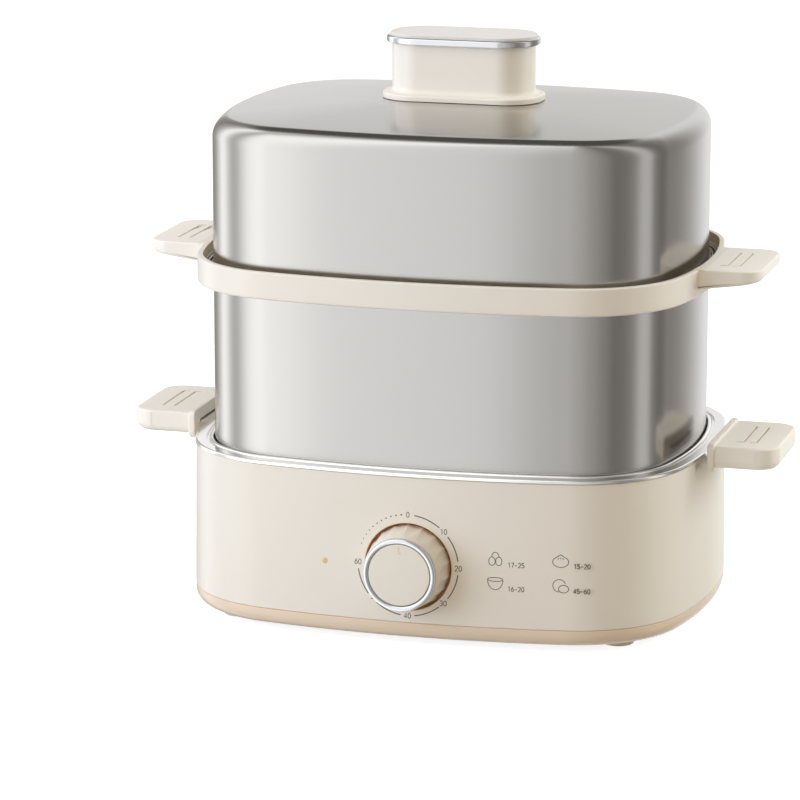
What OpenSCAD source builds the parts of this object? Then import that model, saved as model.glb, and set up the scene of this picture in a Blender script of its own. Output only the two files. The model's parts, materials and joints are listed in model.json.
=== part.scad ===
// Electric egg cooker with a heater base, a lift-off pan, a steaming sleeve and a domed lid.
// Millimetres, +Z up, front towards -Y. The origin is on the floor under the middle of the base.

/* [Footprint] */
// Width of the base across its rounded ends
base_w = 244; // [238:1:250]
// Depth of the base from front to back
base_d = 192; // [188:1:196]
// Radius of the four rounded corners
corner_r = 54.63; // [52:0.01:58]
// Radius of the gently bowed front and back
front_r = 437.43; // [420:0.01:480]
// Radius of the bowed ends
end_r = 219.04; // [215:0.01:240]

/* [Base] */
// Height of the seam between the shell and the bottom cover
seam_z = 11.2; // [11:0.1:12]
// Height of the upper edge of the shell
shell_top = 79.3; // [79:0.1:80]
// How much wider the shell is at the seam than at the top, on each side
shell_draft = 0.8; // [0.4:0.1:1]
// Wall of the plastic shell
shell_wall = 2.4; // [2:0.1:2.6]
// Height of the rubber feet under the bottom cover
foot_h = 3; // [2.5:0.1:3.2]
// Radius of a rubber foot
foot_r = 7.5; // [7:0.1:7.6]

/* [Dial] */
// Height of the knob's centre above the floor
knob_z = 37.4; // [37:0.1:38]
// Radius of the knob where it enters the shell
knob_r = 19.6; // [19:0.1:19.8]
// Radius of the bright ring on the knob
knob_ring_r = 17; // [16.6:0.1:17.2]
// How far the knob stands out of the shell
knob_out = 15.6; // [15:0.1:17]
// Radial gap round the knob in its recess
knob_gap = 0.8; // [0.6:0.1:1]

/* [Steel tiers] */
// How far the upright steel walls stand inside the outline of the base
wall_inset = 8.9; // [8.8:0.1:9]
// Sheet thickness of the lid and the sleeve
sheet_t = 0.7; // [0.6:0.1:0.8]
// Height of the lower edge of the band round the sleeve
band_z = 155.9; // [154:0.1:157]
// Height of that band
band_h = 12.8; // [12.6:0.1:13.2]
// Height at which the lid's wall turns inwards
lid_turn_z = 223.9; // [222:0.1:224.5]
// Radius of that turn
lid_edge_r = 9.8; // [9:0.1:10.4]
// Height of the middle of the lid's crown
lid_crown_z = 239.2; // [238:0.1:240]

/* [Handles] */
// Top of the pan's handles above the floor
pan_handle_top = 86.2; // [86:0.1:86.5]
// Distance from the middle to the tip of a pan handle
pan_handle_x = 156.2; // [152:0.1:158]
// Distance from the middle to the tip of a sleeve handle
sleeve_handle_x = 147; // [143:0.1:149]
// Half the width of a handle from front to back
handle_half = 29; // [27:0.1:30]
// Width of the lid's handle
lid_handle_w = 67.4; // [64:0.1:72]
// Depth of the lid's handle
lid_handle_d = 32.6; // [31:0.1:35]
// Top of the lid's handle above the floor
lid_handle_top = 269.3; // [269:0.1:270]

/* [Hidden] */
a = base_w / 2;
b = base_d / 2;
// Centres of the bows lie on the axes, at these distances past the middle
bow_y = front_r - b;
bow_x = end_r - a;
// A corner circle touches both bows from inside, which gives a quadratic for its centre
reach_y = front_r - corner_r;
reach_x = end_r - corner_r;
k0 = (reach_y * reach_y - reach_x * reach_x - bow_y * bow_y + bow_x * bow_x) / (2 * bow_y);
k1 = bow_x / bow_y;
qa = 1 + k1 * k1;
qb = bow_x + k0 * k1;
qc = bow_x * bow_x + k0 * k0 - reach_x * reach_x;
corner_x = (sqrt(qb * qb - qa * qc) - qb) / qa;
corner_y = k0 + k1 * corner_x;
// Directions of the two points where a corner arc meets the bows
turn_0 = atan2(corner_y, corner_x + bow_x);
turn_1 = atan2(corner_y + bow_y, corner_x);
turn = turn_1 - turn_0;
// The outline as eight tangent arcs: centre x, centre y, radius, start angle, sweep, and its sector
far_end = [2 * corner_x + bow_x, 2 * corner_y];
far_front = [2 * corner_x, 2 * corner_y + bow_y];
function end_arc(s) = [
    -s * bow_x, 0, end_r, (s > 0 ? 360 : 180) - turn_0, 2 * turn_0,
    [[-s * bow_x, 0], [s * far_end[0], -s * far_end[1]], [s * far_end[0], s * far_end[1]]]
];
function front_arc(s) = [
    0, -s * bow_y, front_r, (s > 0 ? 0 : 180) + turn_1, 180 - 2 * turn_1,
    [[0, -s * bow_y], [s * far_front[0], s * far_front[1]], [-s * far_front[0], s * far_front[1]]]
];
function corner_arc(sx, sy) =
    let (near = [corner_x, corner_y], sector = [near, far_end, far_end + far_front - near, far_front])
    [
        sx * corner_x, sy * corner_y, corner_r,
        sx > 0 ? (sy > 0 ? turn_0 : 360 - turn_1) : (sy > 0 ? 180 - turn_1 : 180 + turn_0), turn,
        [for (k = [0 : 3]) let (p = sector[sx * sy > 0 ? k : 3 - k]) [sx * p[0], sy * p[1]]]
    ];
ARCS = [
    end_arc(1), corner_arc(1, 1), front_arc(1), corner_arc(-1, 1),
    end_arc(-1), corner_arc(-1, -1), front_arc(-1), corner_arc(1, -1)
];
// Points of the outline moved outwards by off, with n points to an arc
function outline(off, n) = [
    for (s = ARCS)
        for (k = [0 : n - 1])
            let (t = s[3] + s[4] * k / n)
            [s[0] + (s[2] + off) * cos(t), s[1] + (s[2] + off) * sin(t)]
];
// Points of an arc in a profile, from angle t0 to angle t1
function arc_pts(cx, cy, r, t0, t1, n) = [
    for (k = [0 : n])
        let (t = t0 + (t1 - t0) * k / n)
        [cx + r * cos(t), cy + r * sin(t)]
];
mirrored = [-1, 1];

// Materials
cream = [0.90, 0.86, 0.79];
tan_plastic = [0.78, 0.67, 0.53];
steel = [0.75, 0.75, 0.74];
bright = [0.88, 0.88, 0.90];
alloy = [0.66, 0.67, 0.69];
brass = [0.80, 0.66, 0.32];
rubber = [0.25, 0.24, 0.23];
black = [0.12, 0.12, 0.13];
amber = [0.93, 0.66, 0.26];
ceramic = [0.93, 0.92, 0.88];
blue_steel = [0.32, 0.36, 0.45];

// Base levels
floor_t = 2.2;
cover_top = seam_z - 0.2;
inner_floor = foot_h + floor_t;
ledge_z = shell_top - 1.3;
ledge_in = 6.2;
foot_x = 91;
foot_y = 64;
boss_turn = 16;
boss_in = 6.4;
boss_x = corner_x + (corner_r - boss_in) * cos(boss_turn);
boss_y = corner_y + (corner_r - boss_in) * sin(boss_turn);
boss_r = 4.6;
boss_z = 13.4;
boss_h = 20;
pocket_in = 3.4;
pocket_half = 33;
pocket_z = 69.5;

// Dial and timer
function face_off(z) = shell_draft * (shell_top - z) / (shell_top - seam_z);
knob_y = b + face_off(knob_z);
recess_depth = 4.6;
recess_floor = 2;
timer_y = -knob_y + recess_depth + recess_floor + 0.2;
timer_w = 45;
timer_h = 32;
plate_t = 1.2;
plate_gap = 20;
pillar_x = 20;
pillar_z = 13.5;
pillar_r = 1.8;
shaft_r = 3;
shaft_tail_r = 1.6;
shaft_step = 3.4;
pivot_r = 0.6;
arbor_r = 1;
running = 0.06;
timer_screw_x = 12.5;
gear_m = 0.5;
wheel_teeth = 36;
pinion_teeth = 12;
gear_far = gear_m * (wheel_teeth + pinion_teeth) / 2;
second_turn = 203.6;
second_x = gear_far * cos(second_turn);
second_z = gear_far * sin(second_turn);
third_turn = 100;
third_x = second_x + gear_far * cos(third_turn);
third_z = second_z + gear_far * sin(third_turn);
anchor_x = -3.4;
anchor_z = 12.2;
escape_r = 6;
escape_teeth = 12;
cam_r = 6;
barrel_r = 9.5;

// Heater
heater_y = 14;
heater_r = 58;
heater_flange_r = 64.5;
heater_z = 52;
heater_top = 57.7;
heater_screw_r = 61.8;
tube_r = 4;
tube_ring_r = 40;
tube_z = 47.9;
liner_z = 54.6;
liner_t = 0.6;

// Inlet
inlet_z = 30;
inlet_y = b + 0.9;
inlet_flange_w = 50;
inlet_flange_h = 24;
inlet_flange_t = 2.1;
inlet_body_w = 28.4;
inlet_body_h = 21.2;
inlet_body_y = 74;
inlet_hole_w = 24.6;
inlet_hole_h = 16.4;
inlet_hole_y = 80;
inlet_screw_x = 20;
pin_tip_y = 93;

// Lamp
lamp_x = -39.8;
lamp_z = 37;
lamp_y = -(sqrt((front_r + face_off(lamp_z)) ^ 2 - lamp_x ^ 2) - bow_y);

// Pan
pan_floor = 58;
pan_sheet = 0.8;
pan_in = 13;
mouth_in = 8.3;
step_z = 72.2;
flange_z = 81.1;
tab_z = 80.3;
tab_half = 20;
tab_x = 138;
grip_in_x = 127.3;
plate_in_x = 124;
handle_screw_x = 133;
handle_screw_y = 12;

// Trays and sleeve
lower_tray_z = 72.5;
tray_t = 0.8;
sleeve_z = 73.6;
seat_z = 158;
seat_top = 163.2;
upper_tray_z = 158.8;
band_top = band_z + band_h;
band_off = -1.35;
band_in = -4.1;
hole_r = 2.5;
hole_pitch = 15;

// Lid
lid_z = 160.2;
lid_slope = 12;
lid_screw_x = 20;
ring_z = 264.7;
ring_top = 268;

// A profile of (offset, height) points carried round the outline
module ring(profile) {
    for (s = ARCS)
        intersection() {
            translate([s[0], s[1], 0])
                rotate_extrude($fn = 180)
                    polygon([for (p = profile) [s[2] + p[0], p[1]]]);
            linear_extrude(300)
                polygon(s[5]);
        }
}

// A flat plate of the outline's shape
module plate(off, z0, z1) {
    translate([0, 0, z0])
        linear_extrude(z1 - z0)
            polygon(outline(off, 12));
}

// A rectangle with round corners, centred
module round_rect(w, d, r) {
    square([w - 2 * r, d], center = true);
    square([w, d - 2 * r], center = true);
    for (sx = mirrored)
        for (sy = mirrored)
            translate([sx * (w / 2 - r), sy * (d / 2 - r)])
                circle(r, $fn = 48);
}

// A round bar along Y from y0 to y1
module bar_y(x, z, y0, y1, r) {
    translate([x, y1, z])
        rotate([90, 0, 0])
            cylinder(h = y1 - y0, r = r, $fn = 48);
}

// A flat shape in X and Z, drawn about the dial's centre, from y0 to y1
module sheet_y(y0, y1) {
    translate([0, y1, knob_z])
        rotate([90, 0, 0])
            linear_extrude(y1 - y0)
                children();
}

// A cuboid given by its lowest and highest corners
module span(lo, hi) {
    translate(lo)
        cube(hi - lo);
}

// The direction of a route at one of its points, and a smooth line through them in n steps each
function unit(v) = v / norm(v);
function heading(p, i) = unit(p[min(i + 1, len(p) - 1)] - p[max(i - 1, 0)]);
function smooth(p, n) = concat(
    [
        for (i = [0 : len(p) - 2])
            let (size = norm(p[i + 1] - p[i]))
            let (leave = size * heading(p, i), arrive = size * heading(p, i + 1))
            for (k = [0 : n - 1])
                let (t = k / n)
                (2 * t ^ 3 - 3 * t ^ 2 + 1) * p[i] + (t ^ 3 - 2 * t ^ 2 + t) * leave
                + (3 * t ^ 2 - 2 * t ^ 3) * p[i + 1] + (t ^ 3 - t ^ 2) * arrive
    ],
    [p[len(p) - 1]]
);
// A side direction at each step, carried along the line without twist
function sides(t, u, i = 0) =
    i == len(t) ? [] :
    let (w = unit(u - (u * t[i]) * t[i]))
    concat([w], sides(t, w, i + 1));

// An insulated wire swept along a route
module wire(route, r) {
    n = 8;
    p = smooth(route, 3);
    last = len(p) - 1;
    t = [
        for (i = [0 : last])
            i == 0 ? heading(route, 0) : i == last ? heading(route, len(route) - 1) : heading(p, i)
    ];
    u = sides(t, [0.31, 0.17, 0.93]);
    polyhedron(
        points = [
            for (i = [0 : last])
                for (j = [0 : n - 1])
                    p[i] + r * (cos(360 * j / n) * u[i] + sin(360 * j / n) * cross(t[i], u[i]))
        ],
        faces = concat(
            [[for (j = [0 : n - 1]) j]],
            [
                for (i = [0 : last - 1])
                    for (j = [0 : n - 1])
                        let (q = (j + 1) % n)
                        each [[i * n + j, (i + 1) * n + j, i * n + q],
                              [i * n + q, (i + 1) * n + j, (i + 1) * n + q]]
            ],
            [[for (j = [0 : n - 1]) last * n + n - 1 - j]]
        )
    );
}

// Moves a shape drawn along +Z to the dial's centre on the front, pointing forwards
module at_dial() {
    translate([0, -knob_y, knob_z])
        rotate([90, 0, 0])
            children();
}

module base_shell() {
    color(cream)
        difference() {
            union() {
                ring([
                    [shell_draft, seam_z], [0, shell_top - 0.5], [-0.5, shell_top],
                    [-1.6, shell_top], [-1.6, ledge_z], [-ledge_in, ledge_z],
                    [-ledge_in, ledge_z - 1.6], [-shell_wall, ledge_z - 1.6],
                    [shell_draft - shell_wall, seam_z]
                ]);
                handle_pocket_walls();
                at_dial()
                    translate([0, 0, -recess_depth - recess_floor])
                        cylinder(h = recess_depth + recess_floor - 1.5, r = knob_r + knob_gap + 2, $fn = 96);
                for (sx = mirrored)
                    for (sy = mirrored)
                        translate([sx * boss_x, sy * boss_y, boss_z])
                            cylinder(h = boss_h, r = boss_r, $fn = 48);
            }
            handle_pocket_cuts();
            at_dial()
                translate([0, 0, -recess_depth])
                    cylinder(h = 12, r = knob_r + knob_gap, $fn = 96);
            bar_y(0, knob_z, -knob_y, timer_y, shaft_r + 0.5);
            for (sx = mirrored)
                bar_y(sx * timer_screw_x, knob_z, -knob_y, timer_y, 1.7);
            bar_y(lamp_x, lamp_z, lamp_y - 2, lamp_y + 6, 1.65);
            span([-inlet_body_w / 2 - 0.4, b - 8, inlet_z - inlet_body_h / 2 - 0.4],
                 [inlet_body_w / 2 + 0.4, b + 4, inlet_z + inlet_body_h / 2 + 0.4]);
            for (sx = mirrored)
                bar_y(sx * inlet_screw_x, inlet_z, b - 8, b + 4, 1.3);
            for (sx = mirrored)
                for (sy = mirrored)
                    translate([sx * boss_x, sy * boss_y, boss_z - 1])
                        cylinder(h = 16, r = 1.3, $fn = 32);
        }
}

// The shell steps inwards behind each pan handle, so that the handle's plate can drop in
module handle_pocket_walls() {
    intersection() {
        ring([
            [-0.4, pocket_z - 2], [-0.4, pocket_z], [-pocket_in, pocket_z], [-pocket_in, ledge_z],
            [-pocket_in - 2, ledge_z], [-pocket_in - 2, pocket_z - 2]
        ]);
        handle_boxes(pocket_half + 2);
    }
}

module handle_pocket_cuts() {
    intersection() {
        ring([[-pocket_in, pocket_z], [4, pocket_z], [4, shell_top + 2], [-pocket_in, shell_top + 2]]);
        handle_boxes(pocket_half);
    }
}

module handle_boxes(half) {
    for (sx = mirrored)
        translate([sx * a, 0, pocket_z])
            cube([30, 2 * half, 40], center = true);
}

module bottom_cover() {
    edge = 6;
    color(tan_plastic)
        difference() {
            union() {
                ring(concat(
                    [[-1.9, boss_z - 0.2], [-3.3, boss_z - 0.2], [-3.3, 9], [-4.2, 6.6], [-6.4, inner_floor],
                     [-12, inner_floor], [-12, foot_h]],
                    arc_pts(0.7 - edge, foot_h + edge, edge, -90, 0, 6),
                    [[0.7, cover_top], [-1.9, cover_top]]
                ));
                plate(-11, foot_h, inner_floor);
                for (sx = mirrored)
                    for (sy = mirrored)
                        translate([sx * boss_x, sy * boss_y, foot_h + 1])
                            cylinder(h = boss_z - foot_h - 1.2, r = boss_r - 0.2, $fn = 48);
            }
            for (sx = mirrored)
                for (sy = mirrored) {
                    translate([sx * boss_x, sy * boss_y, 0])
                        cylinder(h = 20, r = 1.8, $fn = 32);
                    translate([sx * boss_x, sy * boss_y, 0])
                        cylinder(h = foot_h + 3.2, r = 3.4, $fn = 32);
                    translate([sx * foot_x, sy * foot_y, 0])
                        cylinder(h = foot_h + 1, r = foot_r + 0.2, $fn = 48);
                }
            for (sx = mirrored)
                for (i = [-3 : 3])
                    span([sx * 60 - 14, i * 8 - 1.2, 0], [sx * 60 + 14, i * 8 + 1.2, 10]);
        }
}

module foot(sx, sy) {
    color(rubber)
        translate([sx * foot_x, sy * foot_y, 0])
            rotate_extrude($fn = 64)
                polygon([
                    [0, 0], [foot_r - 0.8, 0], [foot_r, 0.8], [foot_r, foot_h + 0.9], [0, foot_h + 0.9]
                ]);
}

module cover_screws() {
    color(bright)
        for (sx = mirrored)
            for (sy = mirrored)
                translate([sx * boss_x, sy * boss_y, 0]) {
                    translate([0, 0, foot_h + 1.2])
                        cylinder(h = 2, r = 3, $fn = 32);
                    translate([0, 0, foot_h + 3.1])
                        cylinder(h = 20, r = 1.2, $fn = 32);
                }
}

module well_liner() {
    wall_out = 6.5;
    color(alloy)
        difference() {
            union() {
                ring([
                    [-2, ledge_z + 0.1], [-wall_out, ledge_z + 0.1], [-wall_out, liner_z + 3.4],
                    [-wall_out - 3, liner_z], [-22, liner_z], [-22, liner_z + liner_t],
                    [-wall_out - 2.7, liner_z + liner_t], [-wall_out - liner_t, liner_z + 3.6],
                    [-wall_out - liner_t, ledge_z + 0.1 + liner_t], [-2, ledge_z + 0.1 + liner_t]
                ]);
                plate(-21, liner_z, liner_z + liner_t);
            }
            translate([0, heater_y, liner_z - 1])
                cylinder(h = 3, r = heater_r + 0.6, $fn = 128);
            heater_screw_places()
                cylinder(h = 60, r = 1.7, $fn = 32);
        }
}

module heater_screw_places() {
    for (t = [90, 210, 330])
        translate([heater_screw_r * cos(t), heater_y + heater_screw_r * sin(t), 0])
            children();
}

module heating_plate() {
    color(alloy)
        difference() {
            translate([0, heater_y, 0])
                rotate_extrude($fn = 128)
                    polygon([
                        [0, heater_z], [heater_flange_r, heater_z], [heater_flange_r, liner_z - 0.2],
                        [heater_r, liner_z - 0.2], [heater_r, heater_top - 1], [heater_r - 1, heater_top],
                        [0, heater_top]
                    ]);
            heater_screw_places()
                cylinder(h = 60, r = 1.7, $fn = 32);
        }
}

module heater_screws() {
    color(bright)
        heater_screw_places() {
            translate([0, 0, heater_z - 2.1])
                cylinder(h = 2, r = 3, $fn = 32);
            translate([0, 0, heater_z - 0.2])
                cylinder(h = 4.4, r = 1.5, $fn = 32);
        }
}

module heating_element() {
    color(blue_steel)
        translate([0, heater_y, tube_z]) {
            rotate_extrude(angle = 300, start = 300, $fn = 128)
                translate([tube_ring_r, 0])
                    circle(tube_r, $fn = 32);
            for (t = [300, 240])
                translate([tube_ring_r * cos(t), tube_ring_r * sin(t), -12])
                    cylinder(h = 12, r = 1.6, $fn = 32);
        }
}

module thermostat() {
    color(black)
        translate([0, heater_y, 0]) {
            translate([0, 0, 43.6])
                cylinder(h = 8.2, r = 8.3, $fn = 64);
            for (sy = mirrored)
                span([-3, sy * 5 - 0.4, 36.6], [3, sy * 5 + 0.4, 44]);
        }
}

module thermostat_clip() {
    color(steel)
        translate([0, heater_y, 0])
            difference() {
                union() {
                    span([-22, -7, 42.4], [22, 7, 43.4]);
                    for (sx = mirrored)
                        span([sx * 21.5 - 0.5, -7, 42.4], [sx * 21.5 + 0.5, 7, heater_z - 0.1]);
                }
                span([-5, -6, 40], [5, 6, 45]);
            }
}

module thermal_fuse() {
    color(ceramic)
        translate([-15, 34, 47])
            rotate([0, 90, 0])
                cylinder(h = 30, r = 2.2, $fn = 32);
}

module inlet_socket() {
    color(black)
        difference() {
            union() {
                translate([0, inlet_y + inlet_flange_t, inlet_z])
                    rotate([90, 0, 0])
                        linear_extrude(inlet_flange_t)
                            round_rect(inlet_flange_w, inlet_flange_h, 4);
                span([-inlet_body_w / 2, inlet_body_y, inlet_z - inlet_body_h / 2],
                     [inlet_body_w / 2, inlet_y + 0.5, inlet_z + inlet_body_h / 2]);
            }
            span([-inlet_hole_w / 2, inlet_hole_y, inlet_z - inlet_hole_h / 2],
                 [inlet_hole_w / 2, inlet_y + 5, inlet_z + inlet_hole_h / 2]);
            for (sx = mirrored) {
                bar_y(sx * inlet_screw_x, inlet_z, b - 8, b + 6, 1.6);
                bar_y(sx * inlet_screw_x, inlet_z, inlet_y + 0.8, inlet_y + 4, 3.1);
            }
            for (p = pin_places)
                span([p[0] - 1.1, inlet_body_y - 1, p[1] - 2.1], [p[0] + 1.1, inlet_hole_y + 1, p[1] + 2.1]);
        }
}
pin_places = [[-7, inlet_z - 2], [7, inlet_z - 2], [0, inlet_z + 2]];

module inlet_pins() {
    color(brass)
        for (p = pin_places)
            span([p[0] - 1, 66, p[1] - 2], [p[0] + 1, pin_tip_y, p[1] + 2]);
}

module inlet_screws() {
    color(bright)
        for (sx = mirrored) {
            bar_y(sx * inlet_screw_x, inlet_z, inlet_y + 0.9, inlet_y + 2, 2.9);
            bar_y(sx * inlet_screw_x, inlet_z, inlet_y - 9, inlet_y + 1, 1.2);
        }
}

// Outline of the timer's plates with their pivot holes
module timer_plate_shape(shaft_hole) {
    difference() {
        round_rect(timer_w, timer_h, 4);
        circle(shaft_hole, $fn = 48);
        for (p = [[second_x, second_z], [third_x, third_z], [anchor_x, anchor_z]])
            translate(p)
                circle(pivot_r + running, $fn = 32);
        for (sx = mirrored)
            for (sz = mirrored)
                translate([sx * pillar_x, sz * pillar_z])
                    circle(1.1, $fn = 32);
    }
}

module timer_front_plate() {
    color(steel)
        sheet_y(timer_y, timer_y + plate_t)
            difference() {
                timer_plate_shape(shaft_r + running);
                for (sx = mirrored)
                    translate([sx * timer_screw_x, 0])
                        circle(1.3, $fn = 32);
            }
}

module timer_rear_plate() {
    color(steel)
        sheet_y(timer_y + plate_gap, timer_y + plate_gap + plate_t)
            timer_plate_shape(shaft_tail_r + running);
}

module timer_pillars() {
    color(brass)
        for (sx = mirrored)
            for (sz = mirrored) {
                bar_y(sx * pillar_x, knob_z + sz * pillar_z, timer_y + plate_t + 0.02,
                      timer_y + plate_gap - 0.02, pillar_r);
                bar_y(sx * pillar_x, knob_z + sz * pillar_z, timer_y + 0.1,
                      timer_y + plate_gap + plate_t - 0.1, 1.05);
            }
}

module timer_screws() {
    head_y = -knob_y + recess_depth;
    color(bright)
        for (sx = mirrored) {
            bar_y(sx * timer_screw_x, knob_z, head_y - 1.5, head_y - 0.05, 2.8);
            bar_y(sx * timer_screw_x, knob_z, head_y - 0.2, timer_y + plate_t + 2, 1.25);
        }
}

module spring_barrel() {
    y0 = timer_y + 12.4;
    y1 = timer_y + plate_gap - 0.1;
    color(brass)
        difference() {
            bar_y(0, knob_z, y0, y1, barrel_r);
            bar_y(0, knob_z, y0 + 0.8, y1 - 0.8, barrel_r - 0.7);
            bar_y(0, knob_z, y0 - 1, y1 + 1, shaft_tail_r + 0.4);
        }
}

// One flat strip wound outwards at a steady rate
module mainspring() {
    turns = 4;
    r0 = 3.4;
    r1 = 8.4;
    strip = 0.35;
    n = turns * 20;
    function on_spiral(k, off) =
        let (t = 360 * turns * k / n, r = r0 + (r1 - r0) * k / n + off)
        [r * cos(t), r * sin(t)];
    color(blue_steel)
        sheet_y(timer_y + 13.8, timer_y + plate_gap - 1.6)
            polygon(concat(
                [for (k = [0 : n]) on_spiral(k, 0)],
                [for (k = [n : -1 : 0]) on_spiral(k, strip)]
            ));
}

module timer_switch() {
    y0 = timer_y + plate_gap + plate_t + 0.2;
    color(ceramic) {
        span([8, y0, knob_z - 10], [20, y0 + 8, knob_z + 10]);
        for (sz = mirrored)
            span([13.6, y0 + 7.9, knob_z + sz * 6 - 2.5], [14.4, y0 + 13, knob_z + sz * 6 + 2.5]);
    }
}

module lamp_lens() {
    color(amber) {
        bar_y(lamp_x, lamp_z, lamp_y - 0.3, lamp_y + 4, 1.45);
        bar_y(lamp_x, lamp_z, lamp_y + 3.3, lamp_y + 4.6, 2.6);
    }
}

module neon_lamp() {
    color(amber)
        bar_y(lamp_x, lamp_z, lamp_y + 4.8, lamp_y + 14, 2.2);
}

blade_y = timer_y + plate_gap + plate_t + 13.4;
element_x = tube_ring_r * cos(300);
element_y = heater_y + tube_ring_r * sin(300);
element_z = tube_z - 12.2;
blade_z = 36;
wire_r = 1.2;

module wire_live() {
    color("brown")
        wire([[-7, 65.6, 28], [-7, 62, 28], [-34, 48, 12], [-74, 20, 10], [-74, -36, 10], [-30, -46, 14],
              [6, -46, 26], [14, blade_y + 3, knob_z - 6], [14, blade_y, knob_z - 6]], wire_r);
}

module wire_heater_feed() {
    color("brown")
        wire([[14, blade_y, knob_z + 6], [14, blade_y + 3, knob_z + 6], [22, -38, 36],
              [element_x, element_y - 3, 28], [element_x, element_y, 32],
              [element_x, element_y, element_z]], wire_r);
}

module wire_thermostat() {
    color("white")
        wire([[-element_x, element_y, element_z], [-element_x, element_y, 32],
              [-13, -10, 26], [-2, heater_y - 7, 28],
              [0, heater_y - 5, 33], [0, heater_y - 5, blade_z]], wire_r);
}

module wire_fuse() {
    color("white")
        wire([[0, heater_y + 5, blade_z], [0, heater_y + 5, 33], [10, 26, 32], [22, 33, 38], [22, 34, 46],
              [18, 34, 47], [15.2, 34, 47]], wire_r);
}

module wire_neutral() {
    color("blue")
        wire([[-15.2, 34, 47], [-18, 34, 47], [-23, 36, 44], [-20, 46, 30], [-4, 56, 20], [7, 60, 24],
              [7, 62.5, 28], [7, 65.6, 28]], wire_r);
}

module wire_earth() {
    color("green")
        wire([[0, 65.6, 32], [0, 63, 32], [6, 60, 35], [16, 60, 42], [18, 60, 47],
              [18, 60, heater_z - 0.3]], wire_r);
}

module lamp_leads() {
    color("white")
        for (s = mirrored)
            wire([[lamp_x + s, lamp_y + 14.2, lamp_z], [lamp_x + s, lamp_y + 18, lamp_z],
                  [lamp_x + 9 + s, -56, 24 + s], [4, -50, 30 + 3 * s],
                  [9, blade_y + 1.5, knob_z + 5 * s], [12.6, blade_y - 1.6, knob_z + 5 * s]], 0.6);
}

module knob_body() {
    stem_r = 5;
    color(cream)
        at_dial()
            difference() {
                rotate_extrude($fn = 120)
                    polygon([
                        [0, -1], [stem_r, -1], [stem_r, 10.4], [knob_ring_r - 2.8, 10.4], [knob_r - 2, -3],
                        [knob_r, -3], [knob_ring_r + 0.4, knob_out - 2.3], [0, knob_out - 2.3]
                    ]);
                translate([0, 0, -4])
                    cylinder(h = 14.2, r = shaft_r + 0.05, $fn = 64);
            }
}

module knob_ring() {
    ring_half = 1.2;
    color(bright)
        at_dial()
            rotate_extrude($fn = 120)
                polygon(concat(
                    [[knob_ring_r - 2 * ring_half, knob_out - 2.2], [knob_ring_r, knob_out - 2.2]],
                    arc_pts(knob_ring_r - ring_half, knob_out - ring_half, ring_half, 0, 180, 8)
                ));
}

module knob_cap() {
    cap_r = knob_ring_r - 2.6;
    color(cream)
        at_dial()
            difference() {
                translate([0, 0, knob_out - 2.2])
                    cylinder(h = 1.9, r = cap_r, $fn = 120);
                translate([-0.4, cap_r - 4.6, knob_out - 0.6])
                    cube([0.8, 3.4, 2]);
            }
}

module timer_shaft() {
    color(steel) {
        bar_y(0, knob_z, -knob_y - 9.8, timer_y + shaft_step, shaft_r);
        bar_y(0, knob_z, timer_y + shaft_step - 0.1, timer_y + plate_gap + 7.4, shaft_tail_r);
    }
}

// Angle in degrees between a tooth's middle and its flank at radius r
function involute(t) = tan(t) * 180 / PI - t;
function flank(r, pitch, half) =
    let (base = pitch * cos(20))
    half + involute(20) - (r > base ? involute(acos(base / r)) : 0);

// A spur gear's outline, its teeth thinned for running clearance
module gear_shape(teeth, phase) {
    pitch = gear_m * teeth / 2;
    half = 90 / teeth * 0.8;
    base = pitch * cos(20);
    root = pitch - 1.2 * gear_m;
    radii = [root, max(base, root + 0.1), pitch, pitch + 0.8 * gear_m];
    polygon([
        for (i = [0 : teeth - 1])
            for (k = [0 : 7])
                let (j = k < 4 ? k : 7 - k)
                let (r = radii[j])
                let (t = 360 * i / teeth + phase + (k < 4 ? -1 : 1) * flank(r, pitch, half))
                [r * cos(t), r * sin(t)]
    ]);
}

module main_wheel() {
    color(brass)
        sheet_y(timer_y + 4.4, timer_y + 5.8)
            difference() {
                gear_shape(wheel_teeth, second_turn);
                circle(shaft_tail_r + 0.02, $fn = 48);
            }
}

module switch_cam() {
    y0 = timer_y + plate_gap + 3;
    color(ceramic)
        sheet_y(y0, y0 + 3)
            difference() {
                circle(cam_r, $fn = 64);
                circle(shaft_tail_r + 0.02, $fn = 48);
                translate([cam_r, 0])
                    circle(1, $fn = 32);
            }
}

// An arbor with thin pivots at both ends
module arbor(x, z) {
    bar_y(x, knob_z + z, timer_y + 0.2, timer_y + plate_gap + plate_t - 0.2, pivot_r);
    bar_y(x, knob_z + z, timer_y + plate_t + 0.3, timer_y + plate_gap - 0.3, arbor_r);
}

module second_arbor() {
    color(steel) {
        arbor(second_x, second_z);
        sheet_y(timer_y + 3.9, timer_y + 6.3)
            translate([second_x, second_z])
                gear_shape(pinion_teeth, second_turn + 180 + 180 / pinion_teeth);
    }
}

module second_wheel() {
    color(brass)
        sheet_y(timer_y + 7.4, timer_y + 8.8)
            translate([second_x, second_z])
                difference() {
                    gear_shape(wheel_teeth, third_turn);
                    circle(arbor_r + 0.02, $fn = 48);
                }
}

module escape_arbor() {
    color(steel) {
        arbor(third_x, third_z);
        sheet_y(timer_y + 6.9, timer_y + 9.3)
            translate([third_x, third_z])
                gear_shape(pinion_teeth, third_turn + 180 + 180 / pinion_teeth);
    }
}

module escape_wheel() {
    color(brass)
        sheet_y(timer_y + 10.4, timer_y + 11.4)
            translate([third_x, third_z])
                difference() {
                    polygon([
                        for (i = [0 : escape_teeth - 1])
                            for (k = [[4.6, 0], [escape_r, 4], [escape_r, 8]])
                                let (t = 360 * i / escape_teeth + k[1])
                                [k[0] * cos(t), k[0] * sin(t)]
                    ]);
                    circle(arbor_r + 0.02, $fn = 48);
                }
}

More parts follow.
